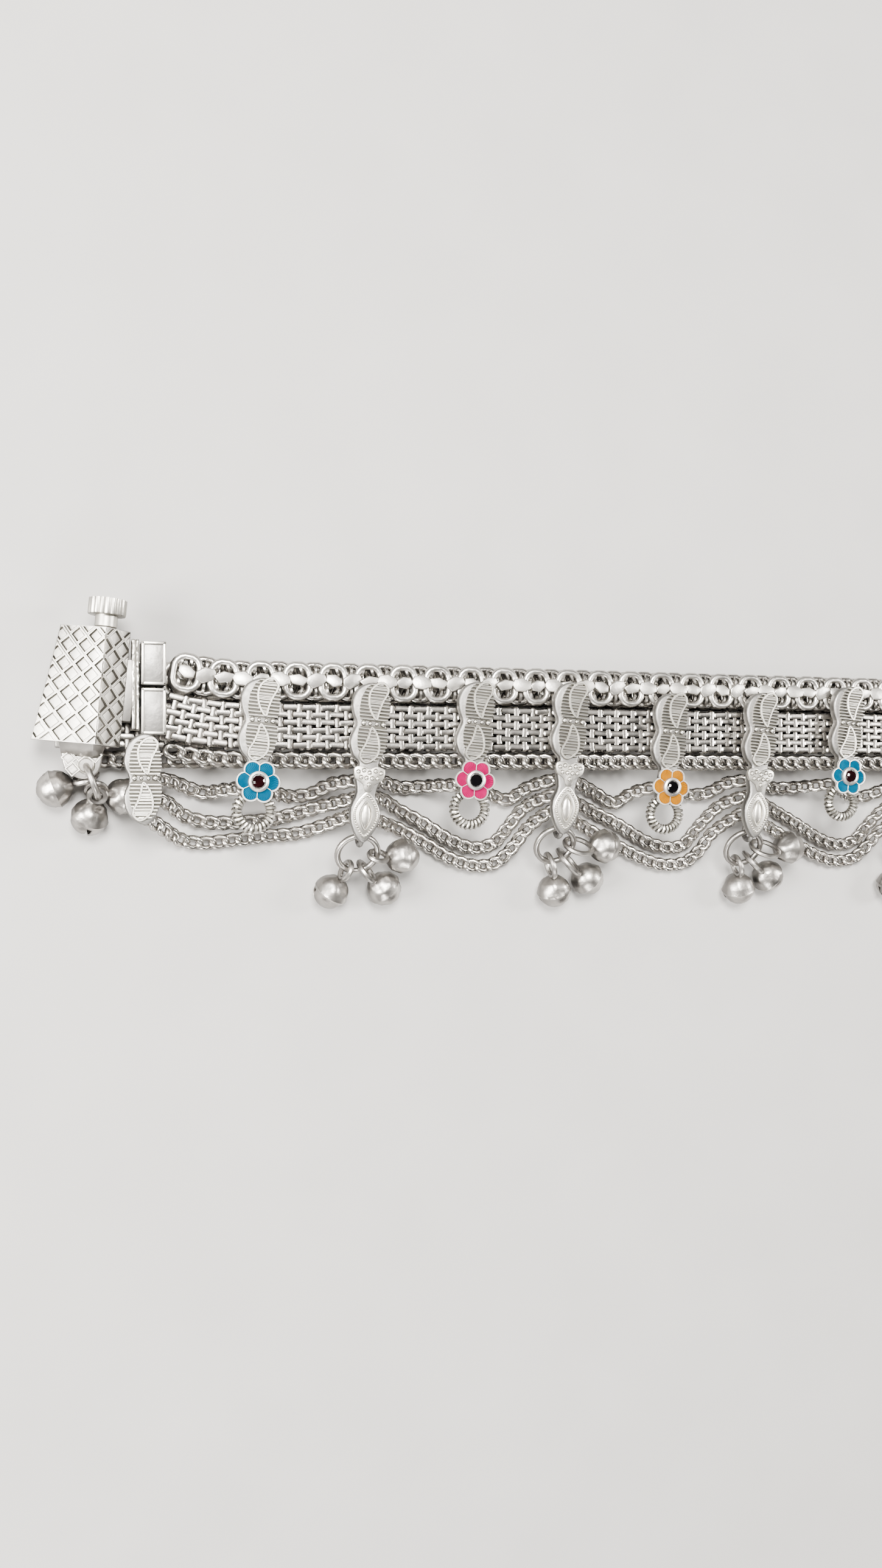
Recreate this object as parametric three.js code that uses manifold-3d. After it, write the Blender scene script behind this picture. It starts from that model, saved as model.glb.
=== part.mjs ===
import * as THREE from 'three';
import { mergeVertices } from 'three/addons/utils/BufferGeometryUtils.js';
import Module from 'manifold-3d';

const wasm = await Module();
wasm.setup();

// A payal, a wide silver anklet, in millimetres, closed and laid flat with its face up.
// X runs along the band from the clasp, the chains and bells hang towards -Y, Z is up.
// The band folds once at its far end and comes back underneath to the clasp.

// Gaps
const seat = 0.25;
const chainGap = 0.3;
const layerGap = 0.5;

// Band: three chains side by side, counted down from the top edge at Y 0
const heavyWidth = 5.8;
const heavyDepth = 3.4;
const wovenWidth = 6.3;
const wovenDepth = 2.0;
const edgeWidth = 2.6;
const edgeDepth = 1.6;
const bandRise = 1.3;
const bandRiseStart = 11.5;

// Ornament plates along the band
const plateCount = 8;
const platePitch = 15.7;
const firstPlateAt = 12.9;
const plateLean = THREE.MathUtils.degToRad(-5);
const plateTop = 2.7;
const plateWaist = 8.6;
const plateBottom = 14.2;
const plateWidth = 4.7;
const plateThickness = 1.25;
const plateFootWidth = 3.4;
const reliefHeight = 0.4;
const plateShift = [[0, 0], [0, -0.3], [0, 0.2], [-0.8, 0.5], [0, -0.8], [0, -0.4], [0, 0.9], [0, 0]];

// Flowers and wound rings, on every other plate
const flowerDrop = 17.1;
const flowerRadius = 3.0;
const flowerThickness = 0.6;
const bezelRadius = 1.5;
const bezelHeight = 0.8;
const stoneRadius = 1.15;
const stoneRise = 0.45;
const woundRingDrop = 21.2;
const woundRingRadius = 2.38;
const woundRingWire = 0.78;

// Leaf-shaped drops, rings and bells, on the plates between
const clusterTop = 15.2;
const clusterBottom = 18.2;
const marquiseBottom = 25.0;
const marquiseWidth = 4.2;
const marquiseDome = 0.75;
const loopRadius = 1.22;
const loopWire = 0.42;
const bigRingRadius = 2.95;
const bigRingWire = 0.45;
const bigRingSlope = THREE.MathUtils.degToRad(30);
const bellRadius = 2.65;
const bellSlit = 0.7;
const smallRingWire = 0.42;

// Swags: three strands under the band
const strandRadius = 1.05;
const hungAt = 6.6;
const swagDrop = 16.9;
const hangerHalf = 0.6;

// Clasp
const capWidth = 3.3;
const capWall = 0.35;
const capRimDepth = 0.25;
const claspGap = 0.75;
const stripWidth = 0.95;
const stripLength = 12.2;
const stripThickness = 2.7;
const stripTop = 2.2;
const screwLean = THREE.MathUtils.degToRad(-5.3);
const coverLength = 15.6;
const coverRidge = 3.4;
const coverRightWidth = 3.3;
const coverRightDrop = 2.5;
const coverLeftWidth = 5.8;
const coverLeftFlare = 2.4;
const coverEdgeThickness = 2.2;
const eyeRadius = 1.9;
const eyeLength = 8.4;
const shankRadius = 1.1;
const collarRadius = 1.5;
const collarLength = 1.6;
const screwHeadRadius = 2.55;
const screwHeadLength = 2.2;
const screwGap = 0.3;
const tongueTop = 0.3;
const tongueThickness = 1.5;
const latticeHeight = 0.3;
const latticePitch = 2.6;
const footWidth = 4.8;
const footLength = 5.2;
const footThickness = 1.0;
const footHoleRadius = 1.0;
const footRingRadius = 2.3;
const endBarWidth = 3.2;
const endBarFootWidth = 2.0;
const leafWidth = 4.4;
const leafLength = 11.9;
const leafTop = 10.8;

// Cross bars of the half that lies underneath
const barWidth = 3.6;

// Heights above the surface that the anklet lies on
const barThickness = 0.6;
const lowerZ = barThickness + seat + heavyDepth / 2;
const upperZ = lowerZ + heavyDepth + layerGap;
const foldRadius = (upperZ - lowerZ) / 2;
const plateZ = heavyDepth / 2 + 0.35;

// Underside of the bars behind the plates that the strands hang from, measured from the band's middle
const hangerBottom = hungAt + strandRadius + seat - upperZ;

// Where the loop of a bell plate is soldered, behind the tip of its leaf
const loopDrop = marquiseBottom - 0.4;
const loopZ = plateZ - loopRadius + 0.1;

// Places along the band
const heavyY = -heavyWidth / 2;
const wovenY = -heavyWidth - chainGap - wovenWidth / 2;
const edgeY = -heavyWidth - wovenWidth - 2 * chainGap - edgeWidth / 2;
const bandHeight = heavyWidth + wovenWidth + edgeWidth + 2 * chainGap;
const capEnd = -58.3;
const plateX = (index) => capEnd + firstPlateAt + platePitch * index + plateShift[index][0];
const foldX = plateX(plateCount - 1) + plateWidth / 2 + 3;
const riseEnd = capEnd + bandRiseStart;
const rise = (x) => (x < riseEnd ? bandRise * ((riseEnd - x) / bandRiseStart) ** 2 : 0);
const stripX = capEnd - capWidth - seat;
const ridgeX = stripX - stripWidth - claspGap - coverRightWidth;
const ridgeY = -3.3;
const lowerEndX = ridgeX - 2.4;

const silver = new THREE.MeshStandardMaterial({ color: 0xe8e4dc, roughness: 0.32, metalness: 1 });
const greySilver = new THREE.MeshStandardMaterial({ color: 0xb4b2ae, roughness: 0.4, metalness: 1 });
const enamels = {
  blue: new THREE.MeshStandardMaterial({ color: 0x2f5fc4, roughness: 0.25, metalness: 0.2 }),
  pink: new THREE.MeshStandardMaterial({ color: 0xe0287c, roughness: 0.25, metalness: 0.2 }),
  orange: new THREE.MeshStandardMaterial({ color: 0xe8641e, roughness: 0.25, metalness: 0.2 }),
};
const stones = {
  garnet: new THREE.MeshStandardMaterial({ color: 0x6e0f2a, roughness: 0.1, metalness: 0 }),
  black: new THREE.MeshStandardMaterial({ color: 0x14141a, roughness: 0.1, metalness: 0 }),
};

const anklet = new THREE.Group();

function toSolid(geometry) {
  const plain = geometry.index ? geometry.toNonIndexed() : geometry.clone();
  plain.deleteAttribute('normal');
  plain.deleteAttribute('uv');
  const merged = mergeVertices(plain, 1e-4);
  return new wasm.Manifold(new wasm.Mesh({
    numProp: 3,
    vertProperties: new Float32Array(merged.attributes.position.array),
    triVerts: new Uint32Array(merged.index.array),
  }));
}

function toGeometry(body) {
  const result = body.getMesh();
  const geometry = new THREE.BufferGeometry();
  geometry.setAttribute('position', new THREE.BufferAttribute(new Float32Array(result.vertProperties), 3));
  geometry.setIndex(new THREE.BufferAttribute(new Uint32Array(result.triVerts), 1));
  geometry.computeVertexNormals();
  return geometry;
}

function join(...geometries) {
  let body = toSolid(geometries[0]);
  for (const geometry of geometries.slice(1)) body = body.add(toSolid(geometry));
  return toGeometry(body);
}

function cut(geometry, ...tools) {
  let body = toSolid(geometry);
  for (const tool of tools) body = body.subtract(toSolid(tool));
  return toGeometry(body);
}

function overlap(first, second) {
  return toGeometry(toSolid(first).intersect(toSolid(second)));
}

function addMesh(parent, name, geometry, material) {
  const mesh = new THREE.Mesh(geometry, material);
  mesh.name = name;
  parent.add(mesh);
  return mesh;
}

// A box given by its limits on each axis.
function block(x0, x1, y0, y1, z0, z1) {
  const geometry = new THREE.BoxGeometry(x1 - x0, y1 - y0, z1 - z0);
  geometry.translate((x0 + x1) / 2, (y0 + y1) / 2, (z0 + z1) / 2);
  return geometry;
}

function outline(points) {
  return new THREE.Shape(points.map(([x, y]) => new THREE.Vector2(x, y)));
}

// An outline in X and Y, thickened upwards from height z.
function slab(shape, z, thickness) {
  const geometry = new THREE.ExtrudeGeometry(shape, { depth: thickness, bevelEnabled: false });
  geometry.translate(0, 0, z);
  return geometry;
}

// A section swept along a list of stations, one step to each station.
function sweep(section, stations) {
  const route = new THREE.CatmullRomCurve3(stations, false, 'centripetal');
  route.getUtoTmapping = (u) => u;
  return new THREE.ExtrudeGeometry(section, {
    steps: stations.length - 1,
    extrudePath: route,
    bevelEnabled: false,
  });
}

// A rectangle with cut corners, its first side across the depth and its second across the width.
function chainSection(depth, width, corner) {
  const a = depth / 2;
  const b = width / 2;
  return outline([
    [a, -b + corner], [a, b - corner], [a - corner, b], [-a + corner, b],
    [-a, b - corner], [-a, -b + corner], [-a + corner, -b], [a - corner, -b],
  ]);
}

function evenly(from, to, count) {
  return Array.from({ length: count }, (_, index) => from + ((to - from) * index) / count);
}

// Out along the top, round the fold and back underneath.
function bandRoute(y) {
  const stations = [];
  stations.push(new THREE.Vector3(capEnd + seat, y + rise(capEnd + 1), upperZ));
  const upper = [...evenly(capEnd + 1, riseEnd, 4), ...evenly(riseEnd, foldX, 8)];
  for (const x of upper) stations.push(new THREE.Vector3(x, y + rise(x), upperZ));
  const foldSteps = 8;
  for (let step = 0; step <= foldSteps; step += 1) {
    const turn = (Math.PI * step) / foldSteps;
    const x = foldX + foldRadius * Math.sin(turn);
    stations.push(new THREE.Vector3(x, y, lowerZ + foldRadius * (1 + Math.cos(turn))));
  }
  for (const x of evenly(lowerEndX, foldX, 7).reverse()) stations.push(new THREE.Vector3(x, y, lowerZ));
  return stations;
}

// Heavy link chain along the top edge
const heavySection = chainSection(heavyDepth, heavyWidth, heavyDepth / 3);
addMesh(anklet, 'heavy_chain', sweep(heavySection, bandRoute(heavyY)), silver);

// Woven band in the middle
const wovenSection = outline([
  [wovenDepth / 2, -wovenWidth / 2], [wovenDepth / 2, wovenWidth / 2],
  [-wovenDepth / 2, wovenWidth / 2], [-wovenDepth / 2, -wovenWidth / 2],
]);
addMesh(anklet, 'woven_band', sweep(wovenSection, bandRoute(wovenY)), silver);

// Fine chain along the bottom edge
const edgeSection = chainSection(edgeDepth, edgeWidth, edgeDepth / 3);
addMesh(anklet, 'edge_chain', sweep(edgeSection, bandRoute(edgeY)), silver);

// Swag strands. Each list is the route of one strand from the leaf plate to the last plate:
// it hangs from the plates and lies on the surface between them.
const upperStrand = [
  [-60.4, -16.9, hungAt], [-57.7, -16.9, 3.9], [-54.3, -18.1, 1.3], [-52.2, -18.6, 1.4], [-49.4, -18.2, 4.2],
  [-46.1, -17.9, hungAt], [-43.0, -18.6, 3.6], [-40.2, -19.2, 1.3], [-36.9, -18.8, 1.3], [-34.4, -17.4, 3.6],
  [-30.6, -16.9, hungAt], [-26.6, -17.1, 2.8], [-23.6, -17.9, 1.3], [-20.3, -17.8, 1.6], [-17.9, -17.6, 4.4],
  [-14.8, -17.7, hungAt], [-11.2, -18.3, 3.2], [-8.3, -19.4, 1.3], [-6.2, -19.7, 1.6], [-3.9, -17.9, 3.6],
  [-0.4, -16.7, hungAt], [4.2, -17.1, 2.8], [7.9, -18.6, 1.3], [11.2, -20.4, 1.6], [13.4, -18.7, 4.0],
  [16.7, -17.9, hungAt], [20.4, -18.6, 3.0], [24.2, -19.1, 1.3], [27.4, -18.8, 2.2], [29.6, -17.2, 4.8],
  [32.3, -16.9, hungAt], [36.4, -17.1, 2.8], [39.6, -18.0, 1.3], [42.9, -18.0, 1.6], [45.2, -17.7, 4.4],
  [48.2, -17.5, hungAt], [51.6, -18.4, 3.2], [54.6, -19.4, 1.3], [57.4, -19.4, 1.6], [60.6, -17.9, 4.0],
  [63.8, -16.9, hungAt],
];
const middleStrand = [
  [-60.8, -19.3, hungAt], [-58.0, -19.9, 3.9], [-55.4, -21.8, 1.5], [-52.0, -22.8, 1.3], [-48.0, -22.9, 1.3],
  [-42.8, -22.5, 1.3], [-38.6, -21.5, 1.3], [-35.0, -20.5, 2.6], [-30.8, -19.3, hungAt], [-26.8, -19.6, 2.8],
  [-24.0, -21.1, 1.3], [-20.0, -23.2, 1.3], [-15.7, -25.8, 1.3], [-11.8, -27.1, 1.3], [-8.6, -26.3, 1.3],
  [-6.4, -24.0, 1.4], [-4.2, -20.9, 3.0], [-0.6, -19.0, hungAt], [4.2, -20.2, 2.4], [7.9, -21.8, 1.3],
  [12.0, -23.7, 1.3], [16.5, -26.3, 1.3], [20.5, -27.5, 1.3], [23.6, -27.0, 1.3], [26.3, -24.0, 1.6],
  [28.8, -20.8, 3.8], [32.1, -19.3, hungAt], [36.6, -20.2, 2.4], [40.3, -21.8, 1.3], [44.4, -24.0, 1.3],
  [48.6, -26.4, 1.3], [52.4, -27.5, 1.3], [55.6, -26.7, 1.3], [58.0, -24.2, 1.5], [60.6, -20.9, 3.6],
  [63.6, -19.3, hungAt],
];
const lowerStrand = [
  [-61.2, -21.7, hungAt], [-58.3, -23.6, 3.9], [-55.6, -25.3, 1.5], [-52.4, -25.8, 1.3], [-48.0, -25.4, 1.3],
  [-43.0, -24.9, 1.3], [-39.0, -24.6, 1.3], [-35.4, -23.5, 2.2], [-31.2, -21.7, hungAt], [-26.9, -23.0, 3.0],
  [-23.7, -24.1, 1.3], [-19.6, -26.3, 1.3], [-15.7, -28.6, 1.3], [-11.8, -29.8, 1.3], [-8.6, -29.5, 1.3],
  [-6.0, -27.4, 1.6], [-3.6, -23.7, 3.6], [-0.8, -21.3, hungAt], [3.4, -22.9, 3.2], [6.2, -24.1, 1.4],
  [10.4, -26.3, 1.3], [15.2, -28.7, 1.3], [19.6, -30.2, 1.3], [23.6, -30.0, 1.3], [26.3, -28.1, 1.5],
  [28.2, -24.9, 3.0], [31.9, -21.7, hungAt], [35.6, -23.0, 3.0], [38.8, -24.3, 1.3], [43.0, -26.6, 1.3],
  [47.4, -28.9, 1.3], [51.6, -30.2, 1.3], [55.2, -29.8, 1.3], [57.8, -27.8, 1.5], [60.0, -24.7, 3.0],
  [63.4, -21.7, hungAt],
];

const strandRound = new THREE.EllipseCurve(0, 0, strandRadius, strandRadius);
const strandSection = new THREE.Shape(strandRound.getPoints(8).slice(0, 8));

function strand(points) {
  const stations = points.map((point) => new THREE.Vector3(...point));
  return new THREE.ExtrudeGeometry(strandSection, {
    steps: 46,
    extrudePath: new THREE.CatmullRomCurve3(stations, false, 'centripetal'),
    bevelEnabled: false,
  });
}

addMesh(anklet, 'swag_upper', strand(upperStrand), silver);
addMesh(anklet, 'swag_middle', strand(middleStrand), silver);
addMesh(anklet, 'swag_lower', strand(lowerStrand), silver);

// Outline of one half of a plate, from its waist to its tip, in shares of length and half width.
// The back plate shows at the left of the relief.
const lobeSteps = [
  { along: 0.0, right: 0.74, left: 1.0 }, { along: 0.2, right: 0.94, left: 1.2 },
  { along: 0.5, right: 1.0, left: 1.36 }, { along: 0.8, right: 0.8, left: 1.1 },
  { along: 1.0, right: 0.3, left: 0.5 },
];

function plateOutline() {
  const up = plateWaist - plateTop;
  const down = plateBottom - plateWaist;
  const half = plateWidth / 2;
  const right = lobeSteps.map((step) => [step.right * half, -plateWaist + step.along * up]);
  const left = lobeSteps.map((step) => [-step.left * half, -plateWaist + step.along * up]);
  const lower = lobeSteps.slice(1);
  const lowLeft = lower.map((step) => [-step.left * half, -plateWaist - step.along * down]);
  const lowRight = lower.map((step) => [step.right * half, -plateWaist - step.along * down]);
  return outline([...right, ...left.reverse(), ...lowLeft, ...lowRight.reverse()]);
}

// A curled drop with its point at the waist and its round head leaning right, in the same shares.
const dropSteps = [
  { side: 0.12, along: 0.1 }, { side: 0.26, along: 0.31 }, { side: 0.45, along: 0.54 },
  { side: 0.71, along: 0.75 }, { side: 0.71, along: 0.88 }, { side: 0.36, along: 0.99 },
  { side: -0.07, along: 0.92 },
  { side: -0.38, along: 0.77 }, { side: -0.45, along: 0.56 }, { side: -0.29, along: 0.31 },
];
const dropMiddle = { side: 0.1, along: 0.66 };
const dropHole = 0.6;

function curledDrop(length) {
  const point = (step, size) => [
    (dropMiddle.side + (step.side - dropMiddle.side) * size) * (plateWidth / 2),
    (dropMiddle.along + (step.along - dropMiddle.along) * size) * length,
  ];
  const shape = outline(dropSteps.map((step) => point(step, 1)));
  const inner = dropSteps.map((step) => new THREE.Vector2(...point(step, dropHole))).reverse();
  shape.holes.push(new THREE.Path(inner));
  return slab(shape, plateZ + plateThickness - 0.05, reliefHeight + 0.05);
}

function platePieces() {
  const upper = curledDrop(plateWaist - plateTop);
  upper.translate(0, -plateWaist, 0);
  const lower = curledDrop(plateBottom - plateWaist);
  lower.rotateZ(Math.PI);
  lower.translate(0, -plateWaist, 0);
  const beads = block(
    -0.36 * plateWidth, 0.36 * plateWidth, -plateWaist - 0.4, -plateWaist + 0.4,
    plateZ + 0.1, plateZ + plateThickness + reliefHeight,
  );
  const footBottom = wovenDepth / 2 + seat;
  const foot = block(
    -plateFootWidth / 2, plateFootWidth / 2, -plateBottom + 0.6, -heavyWidth - chainGap - 0.3,
    footBottom, plateZ + 0.2,
  );
  return [slab(plateOutline(), plateZ, plateThickness), upper, lower, beads, foot];
}

function ring(radius, wire, around, across) {
  return new THREE.TorusGeometry(radius, wire, across, around);
}

// Flower plate: the neck carries the enamelled flower, and a wound ring is soldered under it.
function flowerPlate() {
  const neck = block(
    -0.3 * plateWidth, 0.3 * plateWidth, -woundRingDrop + woundRingRadius - 0.4, -plateBottom + 0.8,
    plateZ + 0.1, plateZ + plateThickness,
  );
  const woundRing = ring(woundRingRadius, woundRingWire, 14, 5);
  woundRing.translate(0, -woundRingDrop, plateZ + 0.4);
  const hanger = block(-hangerHalf, hangerHalf, -swagDrop - 1.5, -swagDrop - 0.1, hangerBottom, plateZ + 0.3);
  return join(...platePieces(), neck, woundRing, hanger);
}

// Bell plate: a dotted triangle and a domed leaf shape, with a loop behind its tip.
function bellPlate() {
  const half = plateWidth / 2;
  const cluster = slab(
    outline([
      [-half, -clusterTop], [-0.45, -clusterBottom - 0.4], [0.45, -clusterBottom - 0.4], [half, -clusterTop],
      [0.55 * half, -plateBottom + 0.5], [-0.55 * half, -plateBottom + 0.5],
    ]),
    plateZ, plateThickness,
  );
  const dots = [[-1.3, 0.7], [0, 0.7], [1.3, 0.7], [0, 1.9]].map(([x, drop]) => {
    const dot = new THREE.CylinderGeometry(0.3, 0.5, 0.55, 5);
    dot.rotateX(Math.PI / 2);
    dot.translate(x, -clusterTop - drop, plateZ + plateThickness + 0.2);
    return dot;
  });
  const length = marquiseBottom - clusterBottom;
  const middle = -(marquiseBottom + clusterBottom) / 2;
  const marquiseEdge = [0, 0.55, 0.88, 1, 0.88, 0.55, 0];
  const side = (sign) => marquiseEdge.map((share, index) => [
    sign * Math.max(share, 0.06) * (marquiseWidth / 2),
    -clusterBottom - (length * index) / (marquiseEdge.length - 1),
  ]);
  const marquise = slab(outline([...side(-1), ...side(1).reverse()]), plateZ, plateThickness - 0.3);
  const dome = new THREE.SphereGeometry(1, 8, 5);
  dome.rotateX(Math.PI / 2);
  dome.scale(0.36 * marquiseWidth, 0.36 * length, marquiseDome);
  dome.translate(0, middle, plateZ + plateThickness - 0.3);
  const loop = ring(loopRadius, loopWire, 10, 4);
  loop.rotateY(Math.PI / 2);
  loop.translate(0, -loopDrop, loopZ);
  const hanger = block(-hangerHalf, hangerHalf, -swagDrop - 5.4, -swagDrop + 0.7, hangerBottom, plateZ + 0.3);
  return join(...platePieces(), cluster, ...dots, marquise, dome, loop, hanger);
}

const enamelOrder = ['blue', 'pink', 'orange', 'blue'];
const stoneOrder = ['garnet', 'black', 'black', 'garnet'];

function flowerShape() {
  const points = [];
  const count = 30;
  for (let step = 0; step < count; step += 1) {
    const turn = (2 * Math.PI * step) / count;
    const radius = flowerRadius * (0.78 + 0.22 * Math.abs(Math.cos(3 * turn)));
    points.push([radius * Math.cos(turn), radius * Math.sin(turn)]);
  }
  return outline(points);
}

// Flower: six petals round a bezel that holds a faceted stone.
function stoneInBezel() {
  const bezel = new THREE.LatheGeometry([
    [0, 0], [bezelRadius, 0], [bezelRadius, bezelHeight],
    [stoneRadius, bezelHeight], [stoneRadius, 0.4], [0, 0.4],
  ].map(([x, y]) => new THREE.Vector2(x, y)), 12);
  const stone = new THREE.LatheGeometry([
    [0, 0.2], [stoneRadius + 0.1, 0.2], [stoneRadius + 0.1, bezelHeight - 0.15],
    [stoneRadius * 0.55, bezelHeight + stoneRise], [0, bezelHeight + stoneRise],
  ].map(([x, y]) => new THREE.Vector2(x, y)), 10);
  const geometry = join(bezel, stone);
  geometry.rotateX(Math.PI / 2);
  return geometry;
}

const plateHolders = [];
for (let index = 0; index < plateCount; index += 1) {
  const holder = new THREE.Group();
  holder.position.set(plateX(index), plateShift[index][1], upperZ);
  const pivot = new THREE.Vector3(0, -plateWaist, 0);
  const turned = pivot.clone().applyAxisAngle(new THREE.Vector3(0, 0, 1), plateLean);
  holder.position.add(pivot.sub(turned));
  holder.rotation.z = plateLean;
  anklet.add(holder);
  const number = index + 1;
  if (index % 2 === 0) {
    addMesh(holder, `flower_plate_${number}`, flowerPlate(), silver);
    const flowerZ = plateZ + plateThickness + seat;
    const pair = index / 2;
    const flower = slab(flowerShape(), flowerZ, flowerThickness);
    addMesh(holder, `flower_${number}`, flower, enamels[enamelOrder[pair]]).position.y = -flowerDrop;
    const stone = addMesh(holder, `stone_${number}`, stoneInBezel(), stones[stoneOrder[pair]]);
    stone.position.set(0, -flowerDrop, flowerZ + flowerThickness + seat);
  } else {
    addMesh(holder, `bell_plate_${number}`, bellPlate(), silver);
  }
  plateHolders.push(holder);
}

// A ring, and the bells that hang from it. Each bell has its own small ring soldered on.
function placeOnRing(centre, along, across, radius, turn) {
  return centre.clone()
    .addScaledVector(along, radius * Math.cos(turn))
    .addScaledVector(across, radius * Math.sin(turn));
}

function bellGeometry(smallRadius) {
  const ball = new THREE.SphereGeometry(bellRadius, 10, 7);
  ball.rotateX(Math.PI / 2);
  const outside = bellRadius + 1;
  const slit = block(-bellSlit / 2, bellSlit / 2, -outside, outside, -outside, -bellRadius * 0.2);
  const smallRing = ring(smallRadius, smallRingWire, 10, 4);
  smallRing.rotateX(Math.PI / 2);
  smallRing.translate(0, 0, bellRadius * 0.98 + smallRadius);
  return join(cut(ball, slit), smallRing);
}

function bellGroup(name, centre, along, across, radius, bells) {
  const normal = along.clone().cross(across).normalize();
  const bigRing = addMesh(anklet, `${name}_ring`, ring(radius, bigRingWire, 14, 5), silver);
  bigRing.quaternion.setFromRotationMatrix(new THREE.Matrix4().makeBasis(along, across, normal));
  bigRing.position.copy(centre);
  bells.forEach(([degrees, x, y, z], index) => {
    const turn = THREE.MathUtils.degToRad(degrees);
    const link = placeOnRing(centre, along, across, radius, turn);
    const wireWay = placeOnRing(new THREE.Vector3(), along, across, 1, turn + Math.PI / 2);
    const bell = new THREE.Vector3(x, y, Math.max(z, bellRadius));
    const up = link.clone().sub(bell);
    const reach = up.length();
    up.normalize();
    const smallRadius = (reach - bellRadius * 0.98 + smallRingWire + bigRingWire + 0.2) / 2;
    const side = wireWay.addScaledVector(up, -wireWay.dot(up)).normalize();
    const front = side.clone().cross(up);
    const mesh = addMesh(anklet, `${name}_bell_${index + 1}`, bellGeometry(smallRadius), greySilver);
    mesh.quaternion.setFromRotationMatrix(new THREE.Matrix4().makeBasis(front, side, up));
    mesh.position.copy(bell);
  });
}

// Where each bell lies: its place round the ring in degrees, then its centre from the loop in X and Y
// and its height. A bell at height 0 lies on the surface, the others lie on the lowest strand.
const bellSpots = {
  2: [[-25, -3.2, -8.2, 0], [25, 4.8, -7.9, 0], [80, 7.0, -3.1, 4.8]],
  4: [[-5, 1.2, -9.7, 0], [40, 6.7, -8.0, 0], [85, 8.7, -2.9, 4.8]],
  6: [[-5, 1.0, -9.2, 0], [40, 6.3, -7.4, 0], [85, 8.9, -2.7, 4.8]],
  8: [[-12, -1.2, -9.8, 0], [32, 4.6, -8.8, 0], [78, 7.6, -4.0, 0]],
};

plateHolders.forEach((holder, index) => {
  const number = index + 1;
  if (!(number in bellSpots)) return;
  const loop = new THREE.Vector3(0, -loopDrop, loopZ).applyAxisAngle(new THREE.Vector3(0, 0, 1), plateLean);
  loop.add(holder.position);
  const along = new THREE.Vector3(0, -Math.cos(bigRingSlope), -Math.sin(bigRingSlope));
  const across = new THREE.Vector3(1, 0, 0);
  const centre = loop.clone().addScaledVector(along, bigRingRadius);
  const bells = bellSpots[number].map(([turn, x, y, z]) => [turn, loop.x + x, loop.y + y, z]);
  bellGroup(`drop_${number}`, centre, along, across, bigRingRadius, bells);
});

// Plain cross bars that hold the three chains of the lower half together
for (let index = 0; index < plateCount; index += 1) {
  const x = plateX(plateCount - 1) - platePitch * (index + 0.5);
  const bar = join(
    block(x - barWidth / 2, x + barWidth / 2, -bandHeight, 0, 0, barThickness),
    block(x - barWidth / 2, x + barWidth / 2, wovenY - wovenWidth / 2, wovenY + wovenWidth / 2,
      barThickness / 2, lowerZ - wovenDepth / 2 - seat),
    block(x - barWidth / 2, x + barWidth / 2, edgeY - edgeWidth / 2, edgeY + edgeWidth / 2,
      barThickness / 2, lowerZ - edgeDepth / 2 - seat),
  );
  addMesh(anklet, `cross_bar_${index + 1}`, bar, silver);
}

// Clasp, in a frame turned with its screw: Y along the screw, Z 0 at the screw's axis
const screwZ = upperZ + 0.35;
const clasp = new THREE.Group();
clasp.position.set(ridgeX, ridgeY, screwZ);
clasp.rotation.z = screwLean;
anklet.add(clasp);

const coverTop = coverLength * 0.43;
const coverBottom = coverTop - coverLength;
const coverFloor = upperZ - layerGap - heavyDepth / 2 - screwZ + 0.35;

function roofPrism(lift) {
  const shape = outline([
    [coverRightWidth, coverFloor], [coverRightWidth, coverRidge - coverRightDrop + lift],
    [0, coverRidge + lift], [-coverLeftWidth, coverRidge - coverEdgeThickness - 1 + lift],
    [-coverLeftWidth, coverFloor],
  ]);
  const geometry = new THREE.ExtrudeGeometry(shape, { depth: coverLength, bevelEnabled: false });
  geometry.rotateX(Math.PI / 2);
  geometry.translate(0, coverTop, 0);
  const spots = geometry.attributes.position;
  for (let index = 0; index < spots.count; index += 1) {
    const x = spots.getX(index);
    const down = (coverTop - spots.getY(index)) / coverLength;
    if (x < 0) spots.setX(index, x * (1 + (coverLeftFlare / coverLeftWidth) * down));
  }
  return geometry;
}

function barrel(radius, from, to, sides) {
  const geometry = new THREE.CylinderGeometry(radius, radius, to - from, sides);
  geometry.translate(0, (from + to) / 2, 0);
  return geometry;
}

const eyeTop = coverTop - 3.6;
const eyeBottom = eyeTop - eyeLength;
const boreRadius = shankRadius + screwGap;

// Raised diamond lattice on the wide sloping face
function lattice() {
  const bars = [];
  for (const way of [-1, 1]) {
    for (let step = -4; step <= 4; step += 1) {
      const rib = new THREE.BoxGeometry(0.5, 3 * coverLength, 12);
      rib.rotateZ((way * Math.PI) / 4);
      rib.translate(-coverLeftWidth / 2 - 0.6, coverTop - coverLength / 2 + step * latticePitch * 1.35, 0);
      bars.push(rib);
    }
  }
  const field = block(
    -coverLeftWidth - coverLeftFlare, -0.9, coverBottom + 0.7, coverTop - 0.7, coverFloor + 1, coverRidge + 1,
  );
  return overlap(overlap(join(...bars), roofPrism(latticeHeight)), field);
}

const cover = cut(
  join(roofPrism(0), lattice()),
  barrel(boreRadius, coverBottom + 0.8, coverTop + 1, 12),
  barrel(eyeRadius + screwGap, eyeBottom - screwGap, eyeTop + screwGap, 12),
  block(0, coverRightWidth + 1, eyeBottom - screwGap, eyeTop + screwGap, -eyeRadius - screwGap, tongueTop + screwGap),
);
const toClasp = new THREE.Matrix4().makeRotationZ(screwLean).setPosition(ridgeX, ridgeY, screwZ);
cover.applyMatrix4(toClasp);

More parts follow.
